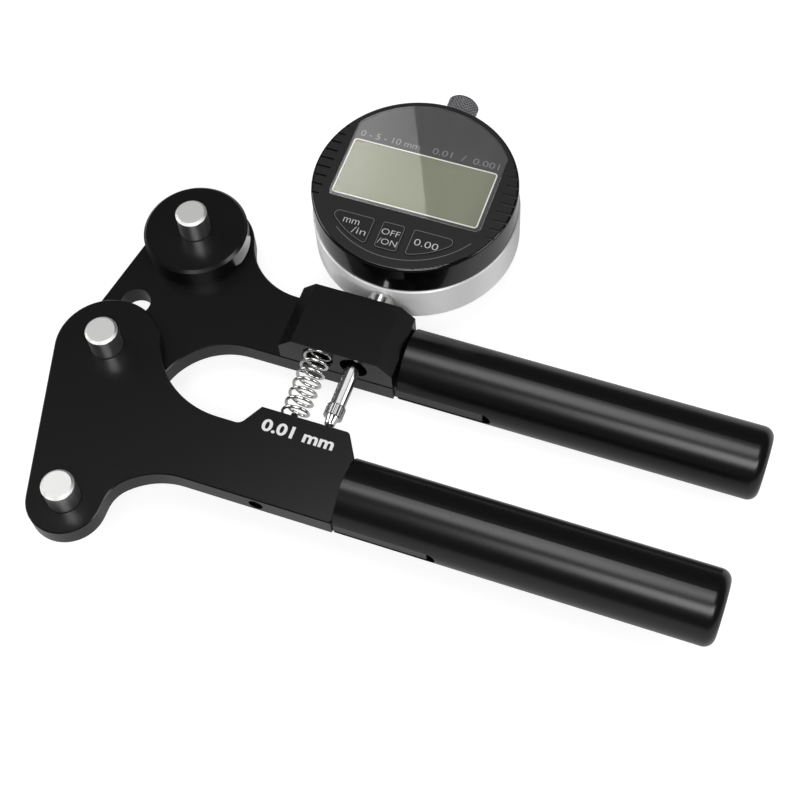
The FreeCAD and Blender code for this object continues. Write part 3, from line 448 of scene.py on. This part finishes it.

# %% [markdown]
# ## The springs
# A coil spring is one wire wound on a helix, right-handed here. It is made as a mesh rather than a curve
# with a bevel; the real spring shortens as the levers close. The wire's section is turned with the helix, so
# the wire stays round. The pitch is even from end to end: one end sits in a pocket of the block, the other
# round the tip of a screw.

# %% Wind the return spring
SEAT_Y, POCKET_Y = mm(-4.5, 14.8)      # the front plate's edge and the block's face
AXIS_X = mm(middle_of("return_spring")[0])
POCKET_Z, SEAT_Z = mm(-5.25, middle_of("front_lever_plate")[2])


def wind(name, axis, start_y, end_y, coil_r, wire_r, turns, first_deg):
    """Wire on a helix along Y: axis(y) gives its centre at each y, first_deg the wire's start."""
    steps, around = 28 * turns, 12      # sections along the wire, points round each
    rows = []
    for i in range(steps + 1):
        y = start_y + (end_y - start_y) * i / steps
        turn = math.radians(first_deg - 360 * turns * i / steps)
        x, z = axis(y)
        outward = Vector((math.cos(turn), 0, math.sin(turn)))
        rise = (end_y - start_y) / (2 * math.pi * turns * coil_r)
        along = Vector((math.sin(turn), rise, -math.cos(turn))).normalized()
        side = along.cross(outward)
        centre = Vector((x, y, z)) + coil_r * outward
        rows.append([centre + wire_r * (math.cos(a) * outward + math.sin(a) * side)
                     for a in [2 * math.pi * j / around for j in range(around)]])
    return skin(name, rows)


def return_axis(y):
    """The spring leans: it starts level in its pocket and ends at the middle of the front plate."""
    fall = max(0.0, (POCKET_Y - y) / (POCKET_Y - SEAT_Y))
    return AXIS_X, POCKET_Z + fall * (SEAT_Z - POCKET_Z)


wire = wind("return_coil", return_axis, start_y=mm(-3.95), end_y=mm(22.25), coil_r=mm(3.54),
            wire_r=mm(0.45), turns=9, first_deg=293)
return_coil = piece("return_coil", wire, "back_lever", "spring_wire")
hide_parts("return_spring")
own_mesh(return_coil)
print("return coil:", len(wire.vertices), "points")

# %% [markdown]
# ## The spindle's own spring
# Inside the case a weaker spring pushes the spindle out against the lever, and shortens as the spindle
# slides in. It is wound by the same function.

# %% Wind the spindle spring
SPINDLE_X, SPINDLE_Z = mm(middle_of("spindle_rod")[0], middle_of("spindle_rod")[2])
wire = wind("spindle_coil", lambda y: (SPINDLE_X, SPINDLE_Z), start_y=mm(59.9), end_y=mm(92.2),
            coil_r=mm(2.75), wire_r=mm(0.25), turns=12, first_deg=90)
spindle_coil = piece("spindle_coil", wire, "back_lever", "spring_wire")
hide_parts("spindle_spring")
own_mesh(spindle_coil)
print("spindle coil:", len(wire.vertices), "points")

# %% [markdown]
# ## Turned and knurled parts
# A turned part is a profile swept round its axis. A knurl is pressed into it by a wheel: the outer radius
# goes up and down round the part. Here both are done together, ring by ring: each ring of the profile has
# a radius and a share of the knurl, and the knurl's pattern is a function of the angle and the place
# along the part.

# %% Turn a part along the spindle
def turn_part(name, profile, knurl, around):
    """Sweeps (y, radius, knurl share) rings round the spindle's axis."""
    rows = []
    for y, r, share in profile:
        row = []
        for j in range(around):
            angle = 2 * math.pi * j / around
            out = mm(r - share * knurl(angle, y))
            row.append((SPINDLE_X + out * math.sin(angle), mm(y), SPINDLE_Z + out * math.cos(angle)))
        rows.append(row)
    return skin(name, rows)


def between(low, high, count, radius, share):
    """Evenly spaced rings of one radius."""
    return [(low + (high - low) * i / (count - 1), radius, share) for i in range(count)]


print("three rings:", between(0.0, 1.0, 3, 2.0, 0.0))

# %% [markdown]
# ## The lifting cap
# The cap screws on the far end of the spindle. Its grip has a diamond knurl of 1.1 mm pitch and 0.32 mm
# depth: two sets of slanting grooves that cross. Both ends are chamfered and smooth, and the far end has
# a shallow hollow.

# %% Knurl the lifting cap
KNURL_PITCH, KNURL_DEPTH = 1.1, 0.32    # mm


def diamond(angle, y):
    """Depth of a diamond knurl, in mm: 28 grooves round the part, slanting both ways."""
    slant = y * math.pi / KNURL_PITCH
    left = abs(math.sin(14 * angle + slant))
    right = abs(math.sin(14 * angle - slant))
    return KNURL_DEPTH * (1 - min(left, right))


CAP_NEAR, CAP_FAR = 100.3, 110.3        # the cap's two ends along Y, mm
BORE_R, FACE_R, SHOULDER_R, GRIP_R = 2.16, 4.25, 4.66, 4.7      # its radii, mm
near_end = [(CAP_NEAR, BORE_R, 0), (CAP_NEAR, FACE_R, 0), (CAP_NEAR + 0.45, SHOULDER_R, 0)]
grip = between(CAP_NEAR + 0.5, CAP_FAR - 0.5, 58, GRIP_R, 1.0)
far_end = [(CAP_FAR - 0.45, SHOULDER_R, 0), (CAP_FAR, FACE_R, 0)]
hollow = [(CAP_FAR, 3.2, 0), (CAP_FAR - 0.25, 2.9, 0)]
cap_mesh = turn_part("knurled_cap", near_end + grip + far_end + hollow, diamond, 216)
knurled_cap = piece("knurled_cap", cap_mesh, "spindle", "cap_plastic")
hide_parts("lifting_cap")
print("cap:", len(cap_mesh.vertices), "points")

# %% [markdown]
# ## The contact point
# The measuring tip screws into the spindle. Its collar has a straight knurl for the fingers, then comes a
# short cone and a rounded end that touches the lever. All of it is one ground steel part.

# %% Turn the contact point
def straight(angle, y):
    """Depth of a straight knurl, in mm: 16 grooves round the part, each along it."""
    return 0.16 * abs(math.sin(8 * angle)) ** 3


TIP_END, TIP_R = -4.5, 1.6      # where the tip touches the lever, and the radius of its rounded end, mm
SMALLEST_R = 0.03               # the first ring is tiny, because a ring can't be one point
COLLAR_NEAR, COLLAR_FAR, COLLAR_R = -1.3, 1.9, 2.7      # mm
tip = [(TIP_END + TIP_R * (1 - math.cos(a)), max(SMALLEST_R, TIP_R * math.sin(a)), 0)
       for a in [math.radians(deg) for deg in range(0, 67, 6)]]
neck = [(-2.9, 1.5, 0), (COLLAR_NEAR, 1.95, 0), (COLLAR_NEAR, 2.45, 0)]
collar = between(COLLAR_NEAR, COLLAR_FAR, 12, COLLAR_R, 1.0)
shoulder = [(COLLAR_FAR + 0.2, 2.5, 0), (COLLAR_FAR + 0.2, BORE_R, 0)]
point_mesh = turn_part("measuring_tip", tip + neck + collar + shoulder, straight, 132)
measuring_tip = piece("measuring_tip", point_mesh, "spindle", "spindle_steel")
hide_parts("contact_point")
print("tip:", len(point_mesh.vertices), "points")

# %% [markdown]
# ## Outlines from the frame
# The printed mask must fit the lens and the bright rims must follow the keys. Their outlines are already
# in the frame, so they are read from it: the flat top face of a node has a border, and its edges are
# those that belong to one triangle only. Joined end to end they give the outline.

# %% Read the border of a flat top
def top_outline(node_name):
    """The border of a node's highest flat face, as points in order, and its level."""
    mesh = nodes[node_name].data
    level = max(vertex.co.z for vertex in mesh.vertices)
    counts, at = {}, {}
    for polygon in mesh.polygons:
        corners = [mesh.vertices[i].co for i in polygon.vertices]
        if all(abs(corner.z - level) < 1e-6 for corner in corners):
            keys = [(round(corner.x, 7), round(corner.y, 7)) for corner in corners]
            at.update(zip(keys, keys))
            for a, b in zip(keys, keys[1:] + keys[:1]):
                edge = frozenset((a, b))
                counts[edge] = counts.get(edge, 0) + 1
    neighbours = {}
    for edge, count in counts.items():
        if count == 1:
            a, b = edge
            neighbours.setdefault(a, []).append(b)
            neighbours.setdefault(b, []).append(a)
    walk = [min(neighbours)]
    while True:
        onward = [p for p in neighbours[walk[-1]] if p not in walk[-2:]]
        if not onward or onward[0] == walk[0]:
            break
        walk.append(onward[0])
    return walk, level


def inset(loop, distance):
    """The same outline, moved inwards by a distance."""
    area = sum(a[0] * b[1] - b[0] * a[1] for a, b in zip(loop, loop[1:] + loop[:1]))
    turn = 1 if area > 0 else -1
    moved = []
    for i, here in enumerate(loop):
        before, after = Vector(loop[i - 1]), Vector(loop[(i + 1) % len(loop)])
        into, out = (Vector(here) - before).normalized(), (after - Vector(here)).normalized()
        normal_in, normal_out = Vector((-into.y, into.x)) * turn, Vector((-out.y, out.x)) * turn
        both = normal_in + normal_out
        moved.append(tuple(Vector(here) + both * (distance / max(0.3, both.dot(normal_in)))))
    return moved


for key in ("key_units", "key_power", "key_zero", "display_window"):
    outline, level = top_outline(key)
    print(key, len(outline), "points at", round(level * 1000, 2), "mm")

# %% [markdown]
# ## Flat prints
# Screen-printed ink is a film of a few hundredths of a millimetre. A filled two-dimensional curve makes
# such a film with holes in it from plain outlines, and it is turned into a closed mesh at once. Lettering
# works the same way, from Blender's own font.

# %% Print flat shapes and lettering
INK = 0.02      # thickness of an ink film, mm


def closed_mesh(curve_data, name):
    """A curve's mesh, with its seams joined."""
    carrier = bpy.data.objects.new(name, curve_data)
    bpy.context.scene.collection.objects.link(carrier)
    bpy.context.view_layer.update()
    mesh = bpy.data.meshes.new_from_object(carrier.evaluated_get(bpy.context.evaluated_depsgraph_get()))
    bpy.data.objects.remove(carrier)
    shape = bmesh.new()
    shape.from_mesh(mesh)
    bmesh.ops.remove_doubles(shape, verts=shape.verts, dist=1e-6)
    bmesh.ops.recalc_face_normals(shape, faces=shape.faces)
    shape.to_mesh(mesh)
    shape.free()
    mesh.name = name
    return mesh


def flat_print(name, loops, level_mm, body, finish, thickness=INK):
    """A film with the given outlines; an outline inside another is a hole."""
    drawing = bpy.data.curves.new(name, "CURVE")
    drawing.dimensions = "2D"
    drawing.fill_mode = "BOTH"
    drawing.extrude = mm(thickness / 2)
    for loop in loops:
        spline = drawing.splines.new("POLY")
        spline.points.add(len(loop) - 1)
        for point, (x, y) in zip(spline.points, loop):
            point.co = (x, y, 0, 1)
        spline.use_cyclic_u = True
    mesh = closed_mesh(drawing, name)
    for vertex in mesh.vertices:
        vertex.co.z += mm(level_mm + thickness / 2)
    return piece(name, mesh, body, finish, smooth=False)


def lettering(name, words, left, foot, width, height, level_mm, body, finish, bold=0.0, thickness=INK):
    """Words fitted into a width and a height, both in mm."""
    text = bpy.data.curves.new(name, "FONT")
    text.body = words
    text.size = 1.0
    text.extrude = 0.01
    text.offset = bold
    text.resolution_u = 4
    mesh = closed_mesh(text, name)
    xs, ys = [v.co.x for v in mesh.vertices], [v.co.y for v in mesh.vertices]
    scale_x, scale_y = mm(width) / (max(xs) - min(xs)), mm(height) / (max(ys) - min(ys))
    low_x, low_y = min(xs), min(ys)
    for vertex in mesh.vertices:
        vertex.co.x = mm(left) + (vertex.co.x - low_x) * scale_x
        vertex.co.y = mm(foot) + (vertex.co.y - low_y) * scale_y
        vertex.co.z = mm(level_mm) + (mm(thickness) if vertex.co.z > 0 else 0.0)
    return piece(name, mesh, body, finish, smooth=False)


print("ink film", INK, "mm")

# %% [markdown]
# ## Inks
# Four inks are used: a grey mask behind the lens, a warm white for the line round the display, a grey for
# the range numbers and an off-white for the keys' labels. Three more finishes are mixed the same way: a
# paler grey along the lens's edge, which is a painted highlight where the edge catches light; the white that
# a laser leaves in an anodised surface; and a black ring round the posts' feet, which is painted shade where
# they meet the plate. All are matt to satin, and a film is a little uneven, a few tenths of a millimetre
# apart.

# %% Mix the inks
inks = {}
for ink, colour, rough_from, rough_to in (
        ("mask_ink_grey", "#494949", 0.4, 0.5), ("line_ink_white", "#d8d8d1", 0.45, 0.6),
        ("number_ink_grey", "#7c7c7c", 0.45, 0.6), ("label_ink_white", "#cfcfcf", 0.4, 0.55),
        # The edge grey is a painted highlight along the lens's lit edge; the black is painted shade round
        # the posts' feet.
        ("painted_edge_highlight_grey", "#84847e", 0.4, 0.5), ("painted_contact_shade_black", "#060607", 0.5, 0.6),
        ("laser_mark_white", "#f0f0f0", 0.5, 0.65)):
    material, tree, shader, place = start(ink, colour, rough_from, IOR=1.3)
    grain(tree, shader, place, 0.4, rough_from, rough_to, 0.0001)
    inks[ink] = material
print(sorted(inks))

# %% [markdown]
# ## Behind the lens
# The back of the lens is printed: a grey mask all round the display, a white line round the opening, and the
# measuring range in small numbers. Seen through the acrylic, the print looks as if it lay deep in the case.
# The lens's lower edge and its two sides catch light, and a paler strip just inside them is a painted
# highlight for it.

# %% Print the back of the lens
LENS_BACK = level_of("display_window", 0)
PRINT_LEVEL, STRIP_LEVEL, NUMBERS_LEVEL = [LENS_BACK + rise for rise in (0.01, 0.03, 0.04)]
LINE_BOX = (45.55, 88.33, 58.62, 78.1)      # x and y of the white line's outer edge, mm
LINE_CORNER, LINE_WIDTH = 1.0, 0.38
EDGE_TOP_Y = 83.2       # the paler strip along the lens's edge ends here, mm
NUMBERS_Y, NUMBERS_HEIGHT = 79.3, 2.1


def rounded_rectangle(box, corner, inward=0.0):
    """A rectangle with rounded corners, moved inwards, in mm, as points in metres."""
    x_low, x_high, y_low, y_high = box
    radius, loop = corner - inward, []
    for cx, cy, first in ((x_high - corner, y_low + corner, -90), (x_high - corner, y_high - corner, 0),
                          (x_low + corner, y_high - corner, 90), (x_low + corner, y_low + corner, 180)):
        for step in range(0, 91, 15):
            angle = math.radians(first + step)
            loop.append(mm(cx + radius * math.cos(angle), cy + radius * math.sin(angle)))
    return loop


lens_outline, lens_top = top_outline("display_window")
line_outer = rounded_rectangle(LINE_BOX, LINE_CORNER)
line_inner = rounded_rectangle(LINE_BOX, LINE_CORNER, LINE_WIDTH)
print_edge = inset(lens_outline, mm(0.05))
mask = flat_print("lens_mask", [print_edge, line_outer], PRINT_LEVEL, "back_lever", inks["mask_ink_grey"])

# A paler strip just inside the lens's lower edge and sides: a painted highlight where the edge catches
# light.
lower = [i for i, point in enumerate(lens_outline) if point[1] < mm(EDGE_TOP_Y)]
first = next(i for i in lower if (i - 1) % len(lens_outline) not in lower)
run = [(first + step) % len(lens_outline) for step in range(len(lower))]
strip_inner = inset(lens_outline, mm(0.3))
edge_strip = [print_edge[i] for i in run] + [strip_inner[i] for i in reversed(run)]
lens_edge = flat_print("lens_edge", [edge_strip], STRIP_LEVEL, "back_lever", inks["painted_edge_highlight_grey"])
frame_line = flat_print("display_line", [line_outer, line_inner], PRINT_LEVEL, "back_lever",
                        inks["line_ink_white"], thickness=0.04)
range_low, range_step = [
    lettering(name, words, left, NUMBERS_Y, width, NUMBERS_HEIGHT, NUMBERS_LEVEL, "back_lever",
              inks["number_ink_grey"])
    for name, words, left, width in (("range_numbers", "0 - 5 - 10 mm", 46.6, 17.8),
                                     ("step_numbers", "0.01  /  0.001", 68.2, 19.7))]
print("mask", len(mask.data.vertices), "points; lens top at", round(lens_top * 1000, 2), "mm")

# %% [markdown]
# ## Rims and labels of the keys
# Each key has a fine moulded rim, drawn as a light grey strip: a painted highlight where the rim catches the
# light. Each key also has a printed label. The rims and labels ride on their keys, so they go down when a
# key is pressed.

# %% Mark the keys
KEY_TOP = level_of("key_power", 1)
RIM_INSETS = (0.02, 0.2)        # the rim's outer and inner edge, inwards from the key's outline, mm
# The rims and the face's ridge are a light grey plastic: a painted highlight along their edges.
material, tree, shader, place = start("abs_rim_polished", "#747475", 0.25, IOR=1.53)
grain(tree, shader, place, 0.8, 0.2, 0.35, 0.0005)
highlight_plastic = material

BODY_OF_KEY = {"key_units": "units_key", "key_power": "power_key", "key_zero": "zero_key"}
for key, body in BODY_OF_KEY.items():
    outline = top_outline(key)[0]
    rim = flat_print(key + "_rim", [inset(outline, mm(distance)) for distance in RIM_INSETS], KEY_TOP - 0.01,
                     body, highlight_plastic, thickness=0.04)

labels = (      # name, words, left, foot, width, height, body
    ("label_mm", "mm", 52.6, 49.3, 4.6, 1.5, "units_key"),
    ("label_in", "/in", 56.0, 46.6, 4.0, 2.1, "units_key"),
    ("label_off", "OFF", 64.0, 48.7, 5.2, 1.9, "power_key"),
    ("label_on", "/ON", 64.0, 45.5, 5.4, 1.9, "power_key"),
    ("label_zero", "0.00", 73.7, 47.9, 6.8, 2.1, "zero_key"),
)
for name, words, left, foot, width, height, body in labels:
    label = lettering(name, words, left, foot, width, height, KEY_TOP, body, inks["label_ink_white"],
                      bold=-0.012)
print("rims and labels on", len(BODY_OF_KEY), "keys")

# %% [markdown]
# ## The moulded arc on the face
# A thin ridge follows the housing's edge below the keys. Its light grey is a painted highlight along the
# ridge. It is an arc of one radius, 0.2 mm wide, so its outline is an outer arc walked one way and an inner
# arc walked back.

# %% Mould the arc
FACE = level_of("front_housing", 1)
FACE_CENTRE = middle_of("front_housing")[:2]
RIDGE_INNER, RIDGE_OUTER = 25.55, 25.75     # radii, mm
RIDGE_FROM, RIDGE_TO = -128, -34            # degrees from +X


def arc_points(radius, first_deg, last_deg, steps=60):
    """Points on an arc round the face's centre."""
    angles = [math.radians(first_deg + (last_deg - first_deg) * i / steps) for i in range(steps + 1)]
    return [mm(FACE_CENTRE[0] + radius * math.cos(a), FACE_CENTRE[1] + radius * math.sin(a)) for a in angles]


arc = arc_points(RIDGE_OUTER, RIDGE_FROM, RIDGE_TO) + arc_points(RIDGE_INNER, RIDGE_TO, RIDGE_FROM)
ridge = flat_print("face_ridge", [arc], FACE - 0.02, "back_lever", highlight_plastic, thickness=0.07)
print("ridge", len(ridge.data.vertices), "points")

# %% [markdown]
# ## Round the feet of the posts
# A thin dark ring round the foot of each pressed pin is painted shade: the contact shadow where the pin
# meets the plate.

# %% Set the posts
PLATE_TOP = level_of("front_lever_plate", 1)       # the disc's top is level with it
BODY_OF_POST = {"centre_post": "front_lever", "outer_post": "back_lever", "end_post": "front_lever"}
# The dark ring is painted shade, drawn as a thin film round each post's foot.
CONTACT_SHADE_RADII = (4.78, 4.52)       # the bead's outer and inner edge, mm; the post's own radius is 4.5
for post, body in BODY_OF_POST.items():
    x, y = middle_of(post)[:2]
    angles = [math.radians(5 * i) for i in range(72)]
    circles = [[mm(x + r * math.cos(a), y + r * math.sin(a)) for a in angles] for r in CONTACT_SHADE_RADII]
    contact_shade = flat_print(post + "_bead", circles, PLATE_TOP, body, inks["painted_contact_shade_black"],
                      thickness=0.06)
print("contact_shade_rings", len(BODY_OF_POST))

# %% [markdown]
# ## Marking on the front lever
# The front lever's tab carries a laser marking in white. It holds a plain number, the indicator's step.

# %% Mark the tab
marking = lettering("step_marking", "0.01 mm", 50.4, -11.3, 20.6, 3.7, PLATE_TOP, "front_lever",
                    inks["laser_mark_white"], bold=0.03, thickness=0.01)
print("marking", [round(v * 1000, 1) for v in marking.dimensions])

# %% [markdown]
# ## The floor
# The tool lies on a large pale floor. The floor should look white, and still keep the soft shadow under
# the tool. Its material has two sides. To lamps and to bounced light it is plain white paint. To the
# camera and in reflections it is grey paint with a glow: the paint keeps the shadow, and the glow lifts
# the rest to white. In reflections the glow is weaker, because black parts that mirrored it in full would
# look grey.

# %% Lay the floor
floor_z = cad_box[0][2]
GLOW_SEEN, GLOW_MIRRORED = 0.83, 0.29
bpy.ops.mesh.primitive_grid_add(x_subdivisions=8, y_subdivisions=8, size=16, location=(0, 0, floor_z))
floor = bpy.context.object
floor.name = "floor"
material, tree, shader, place = start("white_painted_floor", "#f2f2f2", 0.9)
seen = add(tree, "ShaderNodeLightPath")
direct = add(tree, "ShaderNodeMath", {0: seen.outputs["Is Camera Ray"], 1: seen.outputs["Is Glossy Ray"]},
             operation="MAXIMUM")
any_view = add(tree, "ShaderNodeMath", {0: direct.outputs["Value"], 1: seen.outputs["Is Transmission Ray"]},
               operation="MAXIMUM")
paint = add(tree, "ShaderNodeBsdfDiffuse", {"Color": linear("#a0a0a0")})
level = add(tree, "ShaderNodeMapRange", {
    "Value": seen.outputs["Is Glossy Ray"], "To Min": GLOW_SEEN, "To Max": GLOW_MIRRORED})
glow = add(tree, "ShaderNodeEmission", {"Color": linear("#ffffff"), "Strength": level.outputs["Result"]})
bright = add(tree, "ShaderNodeAddShader", {0: paint.outputs["BSDF"], 1: glow.outputs["Emission"]})
both = add(tree, "ShaderNodeMixShader", {
    0: any_view.outputs["Value"], 1: shader.outputs["BSDF"], 2: bright.outputs["Shader"]})
tree.links.new(both.outputs["Shader"], tree.nodes["Material Output"].inputs["Surface"])
floor.data.materials.append(material)
print("floor at", round(floor_z * 1000, 2), "mm")

# %% [markdown]
# ## Lamps
# Black parts show only what they mirror, so the lamps are placed for their reflections. A handle mirrors
# a lamp as one long streak. A large lamp far overhead and one far in front draw the two streaks on each
# handle: far lamps put the streaks at the same place on both. Two more at the sides give the plain level
# of light. A softbox's brightness is chosen as a radiance, and its power follows from its area.

# %% Hang the softboxes
def softbox(name, centre, aim, width, height, radiance, turn=0.0):
    """A rectangular area lamp at centre, facing aim, both in mm, turned about its own axis."""
    data = bpy.data.lights.new(name, "AREA")
    data.shape = "RECTANGLE"
    data.size, data.size_y = mm(width, height)
    data.energy = radiance * math.pi * data.size * data.size_y
    lamp = bpy.data.objects.new(name, data)
    lamp.location = mm(*centre)
    facing = (Vector(mm(*centre)) - Vector(mm(*aim))).to_track_quat("Z", "Y")
    lamp.rotation_euler = (facing @ Quaternion((0, 0, 1), math.radians(turn))).to_euler()
    lamp.visible_camera = False
    bpy.context.scene.collection.objects.link(lamp)
    return lamp


softbox("overhead", (15, 103, 1500), (135, 25, 0), 700, 720, 4.0)
softbox("front", (400, -825, 1236), (135, 0, 0), 750, 530, 6.6)
softbox("left_side", (-620, 60, 380), (60, 10, 0), 420, 420, 3.2)
right_side = softbox("right_side", (760, 60, 330), (80, 10, 0), 420, 420, 3.2)

# %% [markdown]
# ## Lamps for one kind of surface
# In a studio a small card is held close to the one part that should mirror it. Light linking does the
# same: a lamp lights only the objects in its receiver collection. Three large cards draw the bright edges
# of the bare metal, one brightens a post's end, and the others draw the streaks on the spindle, the stem
# and the disc. The lamp at the right side is kept off the handles, whose round ends would mirror it as a
# spot.

# %% Link lamps to parts
def only_for(lamp, names):
    """Lets a lamp light only the named objects."""
    group = bpy.data.collections.new(lamp.name + "_receivers")
    for name in names:
        group.objects.link(bpy.data.objects[name])
    lamp.light_linking.receiver_collection = group


HANDLES = ["back_handle", "front_handle"]
POSTS = list(BODY_OF_POST)
BARE_METAL = POSTS + ["gauge_case"]
BRIGHT_STEEL = ["spindle_rod", "measuring_tip", "return_coil"]
CARDS = (       # name, centre, aim, width, height, radiance, turn, parts
    ("rim_right", (420, -406, 392), (0, 0, 0), 300, 300, 6.0, 0, BARE_METAL),
    ("rim_left", (-273, -581, 280), (0, 0, 0), 300, 250, 6.0, 0, BARE_METAL),
    ("rim_far_left", (-640, -200, 145), (30, 0, 0), 300, 200, 5.0, 0, BARE_METAL),
    ("end_top", (-260, 170, 613), (9, -46, 4), 300, 300, 2.4, 0, ["end_post"]),
    ("spindle_top", (108, 346, 607), (67, 10, 0), 800, 250, 1.0, 8, BRIGHT_STEEL),
    ("spindle_right", (640, 346, 217), (67, 10, 0), 200, 441, 2.0, -10.5, ["spindle_rod"]),
    ("stem_strip", (67.4, 36.3, 0.9), (67.4, 36.3, -5), 1.6, 5, 3.0, 0, ["gauge_stem"]),
    ("disc_card", (27.0, 44.4, -10.3), (27.0, 44.4, 0), 9, 11.5, 1.3, -5, ["spacer_disc"]),
    ("disc_rim", (93, -528, 391), (8, 43, -4), 250, 200, 1.7, 0, ["spacer_disc"]),
)
for name, centre, aim, width, height, radiance, turn, parts in CARDS:
    only_for(softbox(name, centre, aim, width, height, radiance, turn), parts)
only_for(right_side, [o.name for o in bpy.data.objects if o.type == "MESH" and o.name not in HANDLES])
print("cards", len(CARDS))

# %% [markdown]
# ## The window's light on the display
# Light from a window lies over the left half of the display and ends in a sharp slanting line. A narrow
# beam that hangs low over the lens draws that line, and a wider one from higher up brightens the corner.
# The print on the lens and the panel behind it take this light differently, so each has its own pair, and
# the panel's is cooler, which greys its green.

# %% Shine two beams on the display
def beam(name, centre, width, height, radiance, turn, spread_deg, colour):
    """A lamp that shines straight down in a narrow beam."""
    lamp = softbox(name, centre, (centre[0], centre[1], 0), width, height, radiance, turn)
    lamp.data.spread = math.radians(spread_deg)
    lamp.data.color = linear(colour)[:3]
    return lamp


LENS_PRINTS = ["display_window", "lens_mask", "range_numbers", "step_numbers"]
HALF, CORNER = (44.95, 67.74, 13.6), (30, 76, 90)       # where the two beams hang, mm
for name, parts, half, corner, colour in (
        ("print", LENS_PRINTS, 0.8, 0.5, "#ffffff"), ("panel", ["display_panel"], 0.19, 0.55, "#cbc2ff")):
    only_for(beam(name + "_half", HALF, 45, 70, half, 24.6, 6, colour), parts)
    only_for(beam(name + "_corner", CORNER, 44, 90, corner, 0, 18, colour), parts)
print("beams from", HALF[2], "and", CORNER[2], "mm")

# %% [markdown]
# ## The room
# Above the lamps the room is dim, which keeps the flat tops of the black plates black.

# %% Dim the room
world = bpy.data.worlds.new("room")
bpy.context.scene.world = world
world.use_nodes = True
world.node_tree.nodes["Background"].inputs["Color"].default_value = linear("#505050")
world.node_tree.nodes["Background"].inputs["Strength"].default_value = 1.0
bpy.context.scene.view_settings.view_transform = "Standard"
print("room", [round(c, 3) for c in linear("#505050")[:3]])
